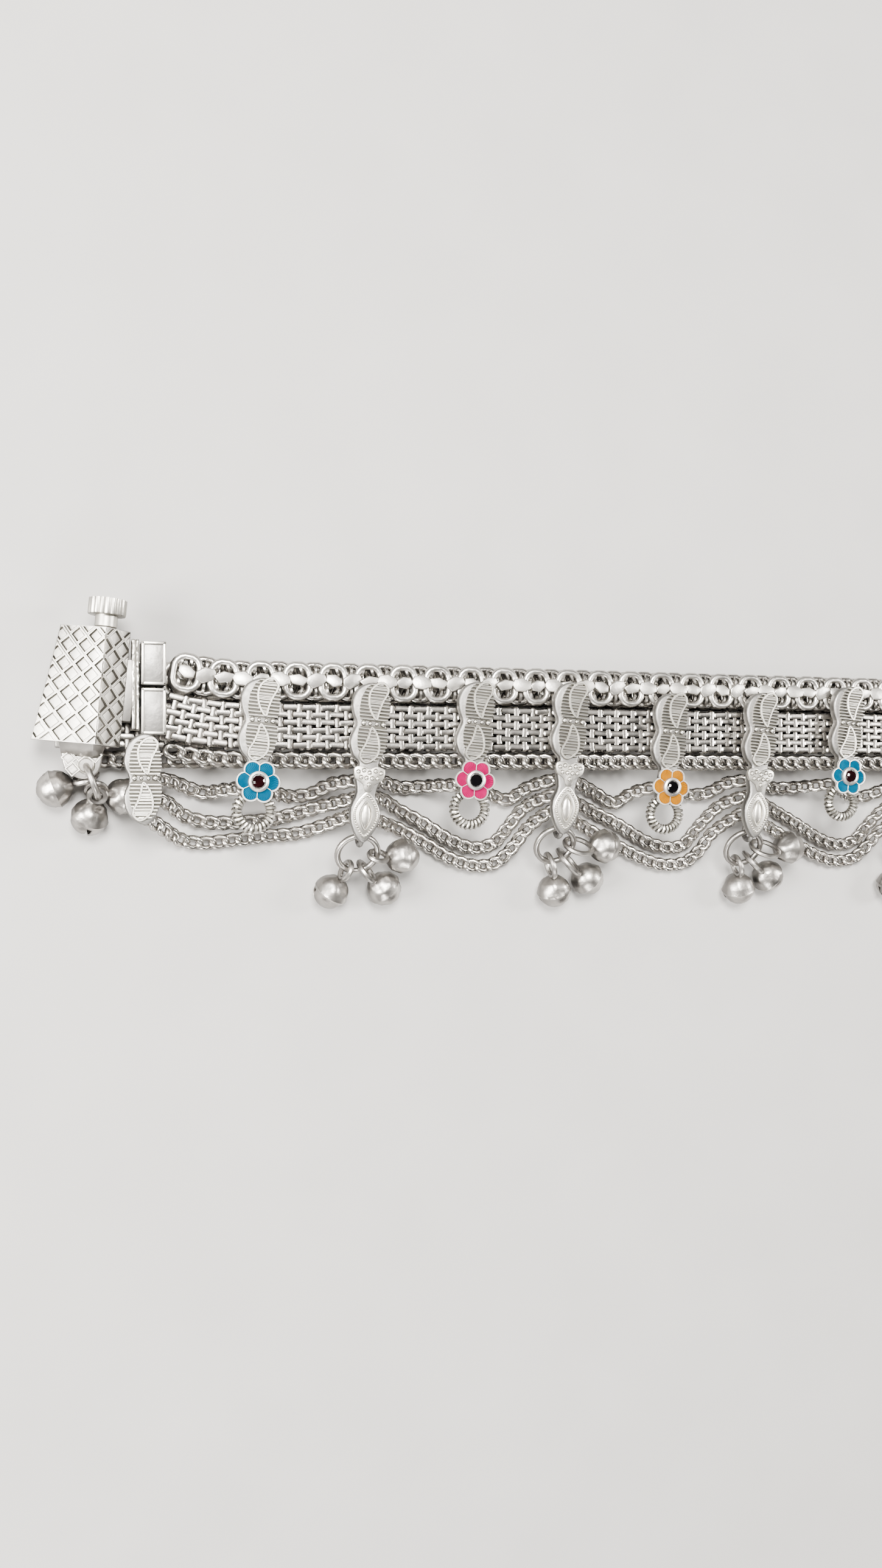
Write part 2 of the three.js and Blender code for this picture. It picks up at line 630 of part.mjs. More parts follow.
// The foot of the cover carries a ring with bells, and its back holds the ends of the lower half.
const footX = ridgeX - 2.4;
const footTop = -11.4;
const footBottom = footTop - footLength;
const footZ = coverFloor + screwZ + 0.7;
const footHole = new THREE.Vector3(footX + 0.5, footBottom + 1.75, footZ + footThickness / 2);
const footSteps = [
  { side: -0.5, down: 0 }, { side: -0.55, down: 0.45 }, { side: -0.42, down: 0.82 }, { side: -0.03, down: 1 },
  { side: 0.33, down: 0.93 }, { side: 0.5, down: 0.62 }, { side: 0.5, down: 0 },
];
const foot = slab(
  outline(footSteps.map((step) => [footX + step.side * footWidth, footTop - step.down * footLength])),
  footZ, footThickness,
);
const hole = new THREE.CylinderGeometry(footHoleRadius, footHoleRadius, footThickness + 1, 12);
hole.rotateX(Math.PI / 2);
hole.translate(footHole.x, footHole.y, footHole.z);
const endBarTop = coverFloor + screwZ + 0.2;
const endBarEnd = -heavyWidth - wovenWidth - chainGap;
const endBar = block(lowerEndX - seat - endBarWidth, lowerEndX - seat, endBarEnd, -0.3, 0, endBarTop);
const endBarFoot = block(
  lowerEndX - seat - endBarFootWidth, lowerEndX - seat, -bandHeight, endBarEnd + 0.4, 0, footZ + 0.2,
);
addMesh(anklet, 'clasp_cover', join(cover, cut(foot, hole), endBar, endBarFoot), silver);

// Tongue: the eye that the screw passes through, and the strip that carries the end caps
const tongue = cut(
  join(
    barrel(eyeRadius, eyeBottom, eyeTop, 12),
    block(0.8, coverRightWidth + claspGap + 1.4, eyeBottom, eyeTop, tongueTop - tongueThickness, tongueTop),
  ),
  barrel(boreRadius, eyeBottom - 1, eyeTop + 1, 12),
);
tongue.applyMatrix4(toClasp);
const strip = block(
  stripX - stripWidth, stripX, stripTop - stripLength, stripTop, upperZ - stripThickness / 2 - 0.05,
  upperZ + stripThickness / 2 - 0.05,
);
const trimmedStrip = cut(tongue, block(stripX - 0.2, stripX + 6, -20, 10, -1, 20));
addMesh(anklet, 'clasp_tongue', join(trimmedStrip, strip), silver);

// End caps: folded plates with a raised edge that grip the heavy chain and the woven band
function endCap(top, bottom, depth) {
  const x0 = capEnd - capWidth;
  const rim = 0.45;
  const body = block(x0, capEnd, bottom, top, upperZ - depth / 2 - capWall, upperZ + depth / 2 + capWall);
  const sunk = block(
    x0 + rim, capEnd - rim, bottom + rim, top - rim,
    upperZ + depth / 2 + capWall - capRimDepth, upperZ + depth,
  );
  return cut(body, sunk);
}

const capRise = rise(capEnd);
const upperCap = endCap(capRise + 0.6, -heavyWidth + capRise + 0.5, heavyDepth - 0.4);
addMesh(anklet, 'end_cap_upper', upperCap, silver);
const lowerCapTop = -heavyWidth - chainGap + capRise + 0.4;
addMesh(anklet, 'end_cap_lower', endCap(lowerCapTop, lowerCapTop - wovenWidth, wovenDepth + 0.8), silver);

// Leaf plate: carries the fine chain and the three strands at the clasp's end
const leafX = capEnd - 2.9;
const leafOutline = [0.34, 0.85, 1, 0.9, 0.66, 0.92, 1, 0.82, 0.3];
const leafMargin = 1.2;
const leafSide = (sign) => leafOutline.map((share, index) => [
  leafX + (sign * share * leafWidth * (sign < 0 ? leafMargin : 1)) / 2,
  -leafTop - (leafLength * index) / (leafOutline.length - 1),
]);
const leafZ = upperZ + plateZ - 0.15;
const leafBody = slab(outline([...leafSide(-1), ...leafSide(1).reverse()]), leafZ, plateThickness);
const leafHanger = block(
  leafX + 0.8 - hangerHalf, leafX + 0.8 + hangerHalf, -swagDrop - 5.1, -swagDrop + 0.5, upperZ + hangerBottom,
  leafZ + 0.2,
);
const leafBeads = block(
  leafX - 1.5, leafX + 1.5, -17.0, -16.2, leafZ + 0.3, leafZ + plateThickness + reliefHeight,
);
const leafHalf = leafLength / 2 - 0.4;
const leafUpper = curledDrop(leafHalf);
leafUpper.translate(leafX, -leafTop - leafHalf, leafZ - plateZ);
const leafLower = curledDrop(leafHalf);
leafLower.rotateZ(Math.PI);
leafLower.translate(leafX, -leafTop - leafHalf - 0.3, leafZ - plateZ);
addMesh(anklet, 'leaf_plate', join(leafBody, leafHanger, leafBeads, leafUpper, leafLower), silver);

// Screw: it turns in the clasp
const knurls = [];
for (let step = 0; step < 36; step += 1) {
  const turn = (2 * Math.PI * step) / 36;
  const radius = step % 2 ? screwHeadRadius - 0.2 : screwHeadRadius;
  knurls.push([radius * Math.cos(turn), radius * Math.sin(turn)]);
}
const head = slab(outline(knurls), 0, screwHeadLength);
head.rotateX(-Math.PI / 2);
head.translate(0, coverTop + screwGap + collarLength, 0);
const shank = barrel(shankRadius, coverBottom + 1.2, coverTop + screwGap + 0.2, 12);
const collar = barrel(collarRadius, coverTop + screwGap, coverTop + screwGap + collarLength + 0.2, 12);
addMesh(clasp, 'clasp_screw', join(head, shank, collar), silver);

// Ring and bells on the cover's foot
const footWay = new THREE.Vector3(0.35, -0.94, 0).normalize();
const down = new THREE.Vector3(0, 0, -1);
const footRing = footHole.clone().addScaledVector(footWay, footRingRadius - 0.05);
footRing.z -= 0.4;
bellGroup('clasp', footRing, footWay, down, footRingRadius, [
  [106, footHole.x - 3.9, footHole.y - 3.2, 0],
  [18, footHole.x + 0.6, footHole.y - 7.1, 0],
  [56, footHole.x + 5.2, footHole.y - 4.2, 0],
]);

// Stand the lowest point on Z 0 and the middle of the box over the origin.
const limits = new THREE.Box3().setFromObject(anklet, true);
const centre = limits.getCenter(new THREE.Vector3());
anklet.position.set(-centre.x, -centre.y, -limits.min.z);

export default anklet;
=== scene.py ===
import math
import bmesh
import bpy
from mathutils import Matrix, Vector, noise


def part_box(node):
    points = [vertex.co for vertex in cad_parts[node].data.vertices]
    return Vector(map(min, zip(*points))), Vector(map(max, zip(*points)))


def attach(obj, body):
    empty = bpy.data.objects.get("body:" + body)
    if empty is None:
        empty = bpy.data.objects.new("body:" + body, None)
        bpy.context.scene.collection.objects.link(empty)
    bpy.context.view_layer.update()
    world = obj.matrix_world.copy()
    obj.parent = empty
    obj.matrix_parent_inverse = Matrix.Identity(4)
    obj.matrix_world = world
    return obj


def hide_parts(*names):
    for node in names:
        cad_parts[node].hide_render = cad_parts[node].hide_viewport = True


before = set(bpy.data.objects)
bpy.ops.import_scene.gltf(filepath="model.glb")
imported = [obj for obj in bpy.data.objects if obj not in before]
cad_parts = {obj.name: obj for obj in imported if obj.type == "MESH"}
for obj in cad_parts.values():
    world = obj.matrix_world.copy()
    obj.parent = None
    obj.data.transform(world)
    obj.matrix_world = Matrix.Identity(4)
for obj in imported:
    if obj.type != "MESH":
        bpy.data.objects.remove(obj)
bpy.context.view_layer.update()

# Heavy chain along the top edge: silver wire, flattened and closed into oval rings in two layers half a
# ring apart, tied by small edge-on links, with diamond-cut pads soldered along the middle. The whole
# payal is drawn in millimetres from the band's top edge and laid in the frame by one of the cross bars.
bar_low, bar_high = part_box("cross_bar_1")
ORIGIN = Vector(((bar_low.x + bar_high.x) / 2 - 0.05665, bar_high.y, 0.0))
TO_FRAME = Matrix.Translation(ORIGIN) @ Matrix.Scale(0.001, 4)
UPPER, LOWER = 6.45, 2.55
FOLD_X, BEND_X = 69.85, -46.8


class Flow:
    """One output socket of a material, ready for arithmetic."""

    def __init__(self, tree, socket=None):
        self.tree, self.socket = tree, socket

    def node(self, kind, settings, sockets, output=0):
        made = self.tree.nodes.new("ShaderNode" + kind)
        for name, value in settings.items():
            setattr(made, name, value)
        for name, value in sockets.items():
            if isinstance(value, Flow):
                self.tree.links.new(value.socket, made.inputs[name])
            else:
                made.inputs[name].default_value = value
        return Flow(self.tree, made.outputs[output])

    def maths(self, operation, *values):
        return self.node("Math", {"operation": operation}, dict(enumerate(values)))

    def __add__(self, other):
        return self.maths("ADD", self, other)

    def __mul__(self, other):
        return self.maths("MULTIPLY", self, other)

    def between(self, low, high):
        """The value stretched so that low becomes 0 and high becomes 1, cut off at both."""
        return self.node("MapRange", {}, {"Value": self, "From Min": low, "From Max": high})

    def blend(self, first, second):
        """From the first colour at 0 to the second at 1."""
        return self.node("Mix", {"data_type": "RGBA"}, {0: self, 6: first, 7: second}, 2)


def finish_material(name, look):
    """A new material. look(flow, places) gives the Principled shader's sockets."""
    material = bpy.data.materials.new(name)
    material.use_nodes = True
    flow = Flow(material.node_tree)
    shader = material.node_tree.nodes["Principled BSDF"]
    places = flow.node("TexCoord", {}, {}, "Object")
    for socket, value in look(flow, places).items():
        if isinstance(value, Flow):
            material.node_tree.links.new(value.socket, shader.inputs[socket])
        else:
            shader.inputs[socket].default_value = value
    return material


def silver(name, bright, grey, roughness, grain=0.12, scratch=3200.0, tarnish=0.4):
    """Silver bright on the faces that look up or down and dark at its sides, partly from polish wear and
    tarnish and partly as painted shade for the light from above, with cloudy greying and a fine frosted
    grain. The mesh's own attribute of wear and painted shade says how far each place looks up or down;
    tarnish sets how dark the sides go."""
    def look(flow, places):
        # Painted shade: faces turned to the side take the dark side colour, standing in for the shade of
        # light from above, together with real polish wear and tarnish.
        wear_and_shade = flow.node("Attribute", {"attribute_name": "wear_and_shade"}, {}, "Fac").between(0.2, 0.85)
        cloud = flow.node("TexNoise", {}, {"Vector": places, "Scale": 420.0, "Detail": 3.0})
        cloud = cloud.between(0.35, 0.68)
        fine = {"Vector": places, "Scale": scratch, "Detail": 2.0, "Roughness": 0.6}
        speck = flow.node("TexNoise", {}, fine)
        return {
            "Base Color": wear_and_shade.blend((*[part * tarnish for part in grey], 1),
                                     (cloud * 0.7 + speck * 0.3).blend((*grey, 1), (*bright, 1))),
            "Metallic": 1.0,
            "Roughness": cloud * -0.1 + (roughness + 0.08) + speck * 0.06,
            "Normal": flow.node("Bump", {}, {"Height": speck, "Strength": grain, "Distance": 0.0001}),
        }
    return finish_material(name, look)


# The last number sets how dark the sides of each silver go: partly tarnish, partly painted shade.
chain_silver = silver("chain silver", (0.98, 0.95, 0.895), (0.52, 0.49, 0.455), 0.22, 0.12, 2600.0, 0.18)
ring_silver = silver("ring silver", (1.0, 0.975, 0.93), (0.80, 0.775, 0.73), 0.27, 0.1, 2000.0, 0.15)
pad_silver = silver("cut silver", (0.93, 0.91, 0.87), (0.62, 0.60, 0.56), 0.36, 0.3, 1500.0)


def spin_round(part, axis, steps):
    """All that part holds is carried once round the axis and closed."""
    bmesh.ops.spin(part, geom=part.verts[:] + part.edges[:], cent=(0, 0, 0), axis=axis, angle=2 * math.pi,
                   steps=steps, use_merge=True)
    bmesh.ops.recalc_face_normals(part, faces=part.faces)


def ring_mesh(length, width, wire, depth, sides=12, wire_sides=6, twist=0.0, corner=None):
    """One closed link lying in X and Y: its wire that wide and deep, its ends turned by twist, and its
    corners of that radius where it is more of a rectangle than an oval."""
    link = bmesh.new()
    small = min(length, width) if corner is None else 2 * corner + wire
    bmesh.ops.create_circle(link, radius=0.5, segments=wire_sides)
    if corner is not None:
        bmesh.ops.rotate(link, verts=link.verts, matrix=Matrix.Rotation(math.pi / wire_sides, 3, "Z"))
    start = Matrix.Rotation(0 if corner is None else math.pi / sides, 4, "Z")
    stand = start @ Matrix.Translation(((small - wire) / 2, 0, 0)) @ Matrix.Diagonal((wire, 1, depth, 1))
    bmesh.ops.transform(link, matrix=stand @ Matrix.Rotation(math.pi / 2, 4, "X"), verts=link.verts)
    spin_round(link, (0, 0, 1), sides)
    for vert in link.verts:
        for axis, spare in ((0, length - small), (1, width - small)):
            if abs(vert.co[axis]) > 0.01:
                vert.co[axis] += math.copysign(spare / 2, vert.co[axis])
        if twist:
            vert.co = Matrix.Rotation(twist * 2 * vert.co.x / length, 3, "X") @ vert.co
    bmesh.ops.recalc_face_normals(link, faces=link.faces)
    return keep_mesh(link)


def keep_mesh(part):
    mesh = bpy.data.meshes.new("part")
    part.to_mesh(mesh)
    part.free()
    return mesh


def stamp(whole, mesh, places, slot=0):
    """Copies of mesh at each of those places, merged into whole. slot None keeps its own materials."""
    if slot is not None:
        for polygon in mesh.polygons:
            polygon.material_index = slot
    for place in places:
        copy = mesh.copy()
        copy.transform(place)
        if place.determinant() < 0:
            copy.flip_normals()
        whole.from_mesh(copy)
        bpy.data.meshes.remove(copy)


def put(x=0.0, y=0.0, z=0.0, about_x=0.0, about_y=0.0, about_z=0.0, size=(1, 1, 1)):
    """A place: sized, turned about X, then Y, then Z, in degrees, and moved."""
    turn = Matrix.Rotation(math.radians(about_z), 4, "Z") @ Matrix.Rotation(math.radians(about_y), 4, "Y")
    turn = turn @ Matrix.Rotation(math.radians(about_x), 4, "X")
    return Matrix.Translation((x, y, z)) @ turn @ Matrix.Diagonal((*size, 1))


def piece(name, whole, materials, nodes, body="anklet", sharp=38):
    """whole, drawn in millimetres, becomes an object in the frame that stands for those CAD nodes."""
    bmesh.ops.transform(whole, matrix=TO_FRAME, verts=whole.verts)
    mesh = keep_mesh(whole)
    mesh.name = name
    mesh.shade_smooth()
    mesh.set_sharp_from_angle(angle=math.radians(sharp))
    for material in materials:
        mesh.materials.append(material)
    # Painted shade with wear: faces that look up or down count as bright, the sides as dark, for the silver's
    # colour.
    wear_and_shade = mesh.attributes.new("wear_and_shade", "FLOAT", "POINT")
    wear_and_shade.data.foreach_set("value", [abs(vert.normal.z) for vert in mesh.vertices])
    made = bpy.data.objects.new(name, mesh)
    bpy.context.scene.collection.objects.link(made)
    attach(made, body)
    if nodes:
        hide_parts(*nodes)
    return made


def band_route(y):
    """Centre line of one of the band's chains: out along the top, round the fold and back underneath."""
    bend = (-58.05, -56, -54, -52, -50, -48.4)
    line = [Vector((x, y + 1.3 * ((BEND_X - x) / 11.5) ** 2, UPPER)) for x in bend]
    line += [Vector((BEND_X, y, UPPER)), Vector((FOLD_X, y, UPPER))]
    radius, middle = (UPPER - LOWER) / 2, (UPPER + LOWER) / 2
    for step in range(1, 16):
        turn = math.pi * step / 16
        line.append(Vector((FOLD_X + radius * math.sin(turn), y, middle + radius * math.cos(turn))))
    return line + [Vector((FOLD_X, y, LOWER)), Vector((-69.25, y, LOWER))]


def walk(line, pitch, side=None):
    """Places at equal steps along a line, near to pitch apart: X along the line, Z away from below it."""
    lengths = [0.0]
    for start, end in zip(line, line[1:]):
        lengths.append(lengths[-1] + (end - start).length)
    count = round(lengths[-1] / pitch)
    places, leg = [], 0
    for number in range(count):
        gone = (number + 0.5) * lengths[-1] / count
        while lengths[leg + 1] < gone:
            leg += 1
        start, end = line[leg], line[leg + 1]
        ahead = (end - start).normalized()
        across = (side - ahead * ahead.dot(side)) if side else Vector((0, 0, 1)).cross(ahead)
        across.normalize()
        turn = Matrix((ahead, across, ahead.cross(across))).transposed().to_4x4()
        spot = start.lerp(end, (gone - lengths[leg]) / (end - start).length)
        places.append(Matrix.Translation(spot) @ turn)
    return places


def round_edges(part, edges, width, steps=2, held=False):
    """Those edges rounded off by that width. held keeps neighbouring roundings from crossing."""
    bmesh.ops.bevel(part, geom=edges, affect="EDGES", offset=width, segments=steps, profile=0.5, material=-1,
                    clamp_overlap=held)


def pad_mesh(length, width, corners):
    """A flat pad hammered on a wire and cut bright: an uneven outline with its edge rubbed round."""
    pad = bmesh.new()
    bmesh.ops.create_circle(pad, radius=0.5, segments=corners, cap_ends=True)
    for number, vert in enumerate(pad.verts):
        reach = 1.0 + 0.1 * math.sin(2.4 * number + corners)
        vert.co = Vector((vert.co.x * length * reach, vert.co.y * width * reach, 0))
    top = bmesh.ops.extrude_face_region(pad, geom=pad.faces[:])["geom"]
    raised = [item for item in top if isinstance(item, bmesh.types.BMVert)]
    bmesh.ops.translate(pad, vec=(0, 0, 0.42), verts=raised)
    bmesh.ops.recalc_face_normals(pad, faces=pad.faces)
    rim = [edge for edge in pad.edges if all(vert in raised for vert in edge.verts)]
    round_edges(pad, rim, 0.14)
    return keep_mesh(pad)


HEAVY_Y, HEAVY_PITCH = -2.9, 5.15
ALONG_BAND = Vector((0, 1, 0))
heavy = bmesh.new()
oval_ring = ring_mesh(4.6, 5.6, 1.05, 0.95, 16, 8, 0, 1.55)
back_ring = ring_mesh(4.5, 5.7, 0.95, 0.95, 16, 8, 0, 1.5)
tie_link = ring_mesh(2.3, 2.3, 0.6, 0.6, 10, 6)
pads = [pad_mesh(3.2, 2.1, 7), pad_mesh(2.7, 1.8, 6), pad_mesh(2.9, 1.85, 5)]
for number, place in enumerate(walk(band_route(HEAVY_Y), HEAVY_PITCH, ALONG_BAND)):
    stamp(heavy, oval_ring, [place @ put(z=0.8), place @ put(z=-0.9)], 2)
    stamp(heavy, back_ring, [place @ put(x=2.57, z=0.0)])
    for side in (-1, 1):
        for x, turn in ((-0.85, 70), (0.5, 112), (2.6, 90)):
            stamp(heavy, tie_link, [place @ put(x, side * 1.45, 0.05, 90, 0, turn * side)])
    for spot, pad in ((0, pads[1 + number % 2]), (2.57, pads[0])):
        tilt = (-7, 5, 9, -5)[(number + int(spot)) % 4]
        stamp(heavy, pad, [place @ put(spot, 0.1, 1.2, tilt, tilt * 0.8, tilt * 2),
                           place @ put(spot, 0, -1.2, 180, tilt * 0.6)], 1)
# The lowest rings of the fold lie flat on the surface.
for vert in heavy.verts:
    vert.co.z = max(vert.co.z, 0.02)
piece("heavy_chain_links", heavy, [chain_silver, pad_silver, ring_silver], ["heavy_chain"], sharp=50)

# Woven band in the middle: six rows of flat edge-on loops like a basket, each row half a loop on from the
# next, and tied to it by small loops that stand across the band.
woven = bmesh.new()
flat_loop = ring_mesh(2.36, 1.94, 0.5, 0.88, 8, 6, 0, 0.2)
cross_loop = ring_mesh(1.85, 1.7, 0.5, 0.8, 8, 6, 0, 0.25)
WOVEN_Y, WOVEN_PITCH, ROW_PITCH = -9.25, 1.36, 1.06
for number, place in enumerate(walk(band_route(WOVEN_Y), WOVEN_PITCH, ALONG_BAND)):
    for row in range(6):
        y = (row - 2.5) * ROW_PITCH
        shake = noise.noise(Vector((number * 0.9, row * 1.7, 0)))
        if (number + row) % 2:
            turned = put(0.1 * shake, y, 0.03 * shake, 90 + 16 * shake, 0, 7 * shake)
            stamp(woven, flat_loop, [place @ turned])
        else:
            inward = y - math.copysign(0.2, y) if row in (0, 5) else y
            stamp(woven, cross_loop, [place @ put(0, inward, 0.05 * shake, 90, 0, 90 + 14 * shake)])
piece("woven_band_loops", woven, [chain_silver], ["woven_band"])

# Fine curb chain along the bottom edge: round wire links, each twisted so that the chain lies flat, and
# filed a little on its face. The swags below are made in the same way.
EDGE_Y, EDGE_PITCH, CURB_TWIST = -14.0, 2.02, math.radians(46)
edge = bmesh.new()
edge_link = ring_mesh(3.5, 2.65, 0.92, 0.88, 12, 6, CURB_TWIST)
stamp(edge, edge_link, walk(band_route(EDGE_Y), EDGE_PITCH, ALONG_BAND))
piece("edge_chain_links", edge, [chain_silver], ["edge_chain"], sharp=75)

# Cross bars that hold the three chains of the hidden lower half together: plain silver strips with a
# pad under each of the two thinner chains.
def slab(points, low, high, bevel=0.12, segments=2):
    """A flat piece with that outline between two heights, its upper edge rounded."""
    part = bmesh.new()
    face = part.faces.new([part.verts.new((x, y, low)) for x, y in points])
    raised = [item for item in bmesh.ops.extrude_face_region(part, geom=[face])["geom"]
              if isinstance(item, bmesh.types.BMVert)]
    bmesh.ops.translate(part, vec=(0, 0, high - low), verts=raised)
    bmesh.ops.recalc_face_normals(part, faces=part.faces)
    rim = [item for item in part.edges if all(vert in raised for vert in item.verts)]
    if bevel:
        round_edges(part, rim, bevel, segments, True)
    return keep_mesh(part)


def box(x0, x1, y0, y1, low, high, bevel=0.12):
    """A rectangular block with rounded edges."""
    part = bmesh.new()
    bmesh.ops.create_cube(part, size=1.0)
    middle = Vector(((x0 + x1) / 2, (y0 + y1) / 2, (low + high) / 2))
    bmesh.ops.transform(part, matrix=put(*middle, size=(x1 - x0, y1 - y0, high - low)), verts=part.verts)
    round_edges(part, part.edges[:], bevel)
    return keep_mesh(part)


plain_silver = silver("plain silver", (0.86, 0.84, 0.80), (0.50, 0.48, 0.46), 0.34)
STILL = [Matrix.Identity(4)]
LAST_PLATE_X, PLATE_PITCH = 64.5, 15.7
for number in range(8):
    x = LAST_PLATE_X - PLATE_PITCH * (number + 0.5)
    bar = bmesh.new()
    stamp(bar, box(x - 1.8, x + 1.8, -15.3, 0, 0, 0.6, 0.15), STILL)
    stamp(bar, box(x - 1.8, x + 1.8, -12.4, -6.1, 0.4, 1.3, 0.1), STILL)
    stamp(bar, box(x - 1.8, x + 1.8, -15.3, -12.7, 0.4, 1.5, 0.1), STILL)
    piece(f"cross_bar_{number + 1}_strip", bar, [plain_silver], [f"cross_bar_{number + 1}"])

# Eight ornament plates clipped over the chains: a matt grey back plate, and on it two ribbed wings with a
# curled drop on each, point to point at a row of beads. Stamped from thin silver and cut bright.
matt_silver = silver("matt grey silver", (0.45, 0.44, 0.425), (0.28, 0.275, 0.265), 0.42, 0.35, 1500.0)
bright_silver = silver("bright relief silver", (1.0, 0.975, 0.91), (0.78, 0.755, 0.69), 0.3, 0.12, 2400.0,
                       0.3)
recess_silver = silver("tarnish in the relief", (0.22, 0.21, 0.19), (0.11, 0.105, 0.09), 0.5, 0.15)
PLATE = 2.05
FACE = PLATE + 1.25
WAIST = -8.6


def smooth_line(points, steps, closed=False):
    """A smooth line through all the points, with so many steps between each two."""
    points = [Vector(point) for point in points]
    count = len(points)
    pick = (lambda at: points[at % count]) if closed else (lambda at: points[max(0, min(count - 1, at))])
    line = []
    for at in range(count if closed else count - 1):
        before, start, end, after = (pick(at + shift) for shift in (-1, 0, 1, 2))
        for step in range(steps):
            share = step / steps
            line.append(start + (end - before) * (share * 0.5)
                        + (before * 2 - start * 5 + end * 4 - after) * (share ** 2 * 0.5)
                        + (start * 3 - before - end * 3 + after) * (share ** 3 * 0.5))
    return line if closed else line + [points[-1]]


def smooth_outline(points, steps=3):
    """The smooth closed outline through flat points, as pairs of X and Y."""
    return [(point.x, point.y) for point in smooth_line([(x, y, 0) for x, y in points], steps, True)]


def wire_mesh(points, radius, closed=False):
    """A round wire along the points."""
    curve = bpy.data.curves.new("wire", "CURVE")
    curve.dimensions = "3D"
    curve.bevel_depth, curve.bevel_resolution, curve.use_fill_caps = radius, 1, not closed
    spline = curve.splines.new("POLY")
    spline.points.add(len(points) - 1)
    for spot, point in zip(spline.points, points):
        spot.co = (*point, 1)
    spline.use_cyclic_u = closed
    holder = bpy.data.objects.new("wire", curve)
    mesh = bpy.data.meshes.new_from_object(holder)
    bpy.data.objects.remove(holder)
    bpy.data.curves.remove(curve)
    return mesh


def spans(points, y):
    """Where the line at that height is inside the outline, as pairs of X."""
    hits = []
    for first, second in zip(points, points[1:] + points[:1]):
        if (first[1] > y) != (second[1] > y):
            hits.append(first[0] + (second[0] - first[0]) * (y - first[1]) / (second[1] - first[1]))
    hits.sort()
    return list(zip(hits[::2], hits[1::2]))


def rib_rows(whole, points, pitch, width, low, height, trim=0.0):
    """Level ribs across the outline, from its bottom to its top."""
    y = min(point[1] for point in points) + pitch * 0.6
    while y < max(point[1] for point in points) - pitch * 0.3:
        for left, right in spans(points, y):
            if right - left > 2 * trim + 0.1:
                size = (right - left - 2 * trim, width, height)
                stamp(whole, unit_rib, [put((left + right) / 2, y, low, size=size)], 1)
        y += pitch


rib = bmesh.new()
bmesh.ops.create_cube(rib, size=1.0, matrix=Matrix.Translation((0, 0, 0.5)))
ridge = [item for item in rib.edges if all(vert.co.z > 0.9 for vert in item.verts)
         and abs(item.verts[0].co.y - item.verts[1].co.y) < 0.1]
round_edges(rib, ridge, 0.32)
unit_rib = keep_mesh(rib)


def ball_mesh(radius, around=10, up=6):
    ball = bmesh.new()
    bmesh.ops.create_uvsphere(ball, u_segments=around, v_segments=up, radius=radius)
    return keep_mesh(ball)


DROP = [(0.12, 0.10), (-0.29, 0.31), (-0.45, 0.56), (-0.38, 0.77), (-0.07, 0.92), (0.36, 0.99), (0.71, 0.88),
        (0.71, 0.75), (0.45, 0.54), (0.26, 0.31)]
WING = [(0.0, 0.05), (0.66, 0.05), (0.93, 0.11), (1.0, 0.33), (0.93, 0.6), (0.66, 0.84), (0.3, 0.96),
        (0.0, 0.98)]


def wings(whole, waist, up, down, width, face):
    """Both ribbed wings, the curled drops on them and the row of beads between."""
    half = width / 2
    for length, way in ((up, 1), (down, -1)):
        wing = [(side * half * way, waist + along * length * way) for side, along in WING]
        wing += [(-side * half * way, waist + along * length * way) for side, along in WING[-2:0:-1]]
        stamp(whole, slab([(x * 0.97, y) for x, y in wing], face - 0.02, face + 0.06, 0), STILL, 2)
        rib_rows(whole, wing, 0.49, 0.27, face - 0.05, 0.42)
        points = [(side * half * way, waist + along * length * way, 0) for side, along in DROP]
        drop = smooth_line(points, 4, True)
        flat = [(point.x, point.y) for point in drop]
        stamp(whole, slab(flat, face + 0.05, face + 0.26, 0), STILL, 2)
        rib_rows(whole, flat, 0.4, 0.22, face + 0.2, 0.2, 0.1)
        stamp(whole, wire_mesh([point + Vector((0, 0, face + 0.33)) for point in drop], 0.19, True), STILL, 1)
    bead = ball_mesh(0.36)
    stamp(whole, bead, [put(x * half, waist, face + 0.12, size=(size, size, size))
                        for x, size in ((-0.66, 1.15), (-0.24, 0.85), (0.2, 0.85), (0.62, 1.15))], 1)


def plate_start(steps_down=()):
    """The back plate of one ornament, showing at the left of its wings and narrow at the waist."""
    whole = bmesh.new()
    left = [(0.7, -2.75), (-1.1, -2.9), (-2.6, -3.9), (-3.2, -5.6), (-2.9, -7.3), (-2.35, -8.6),
            (-2.75, -9.8), (-3.1, -11.4), (-2.5, -13.2), (-1.5, -14.3)]
    right = [(1.3, -14.3), (1.9, -12.6), (2.1, -11.0), (1.75, -9.4), (1.2, -8.6), (1.75, -7.8), (2.1, -6.4),
             (2.0, -4.6), (1.5, -3.2)]
    stamp(whole, slab(smooth_outline([*left, *steps_down, *right]), PLATE, FACE, 0.35, 3), STILL)
    stamp(whole, box(-1.7, 1.7, -13.6, -6.4, 1.25, PLATE + 0.2), STILL)
    wings(whole, WAIST, 5.9, 5.6, 4.5, FACE)
    return whole


LEAN = math.radians(-5)
PLACES = []
for x, y in ((-45.4, 0), (-29.7, -0.3), (-14.0, 0.2), (0.9, 0.5), (17.4, -0.8), (33.1, -0.4), (48.8, 0.9),
             (LAST_PLATE_X, 0)):
    PLACES.append(put(x, y + WAIST, UPPER) @ Matrix.Rotation(LEAN, 4, "Z") @ put(y=-WAIST))

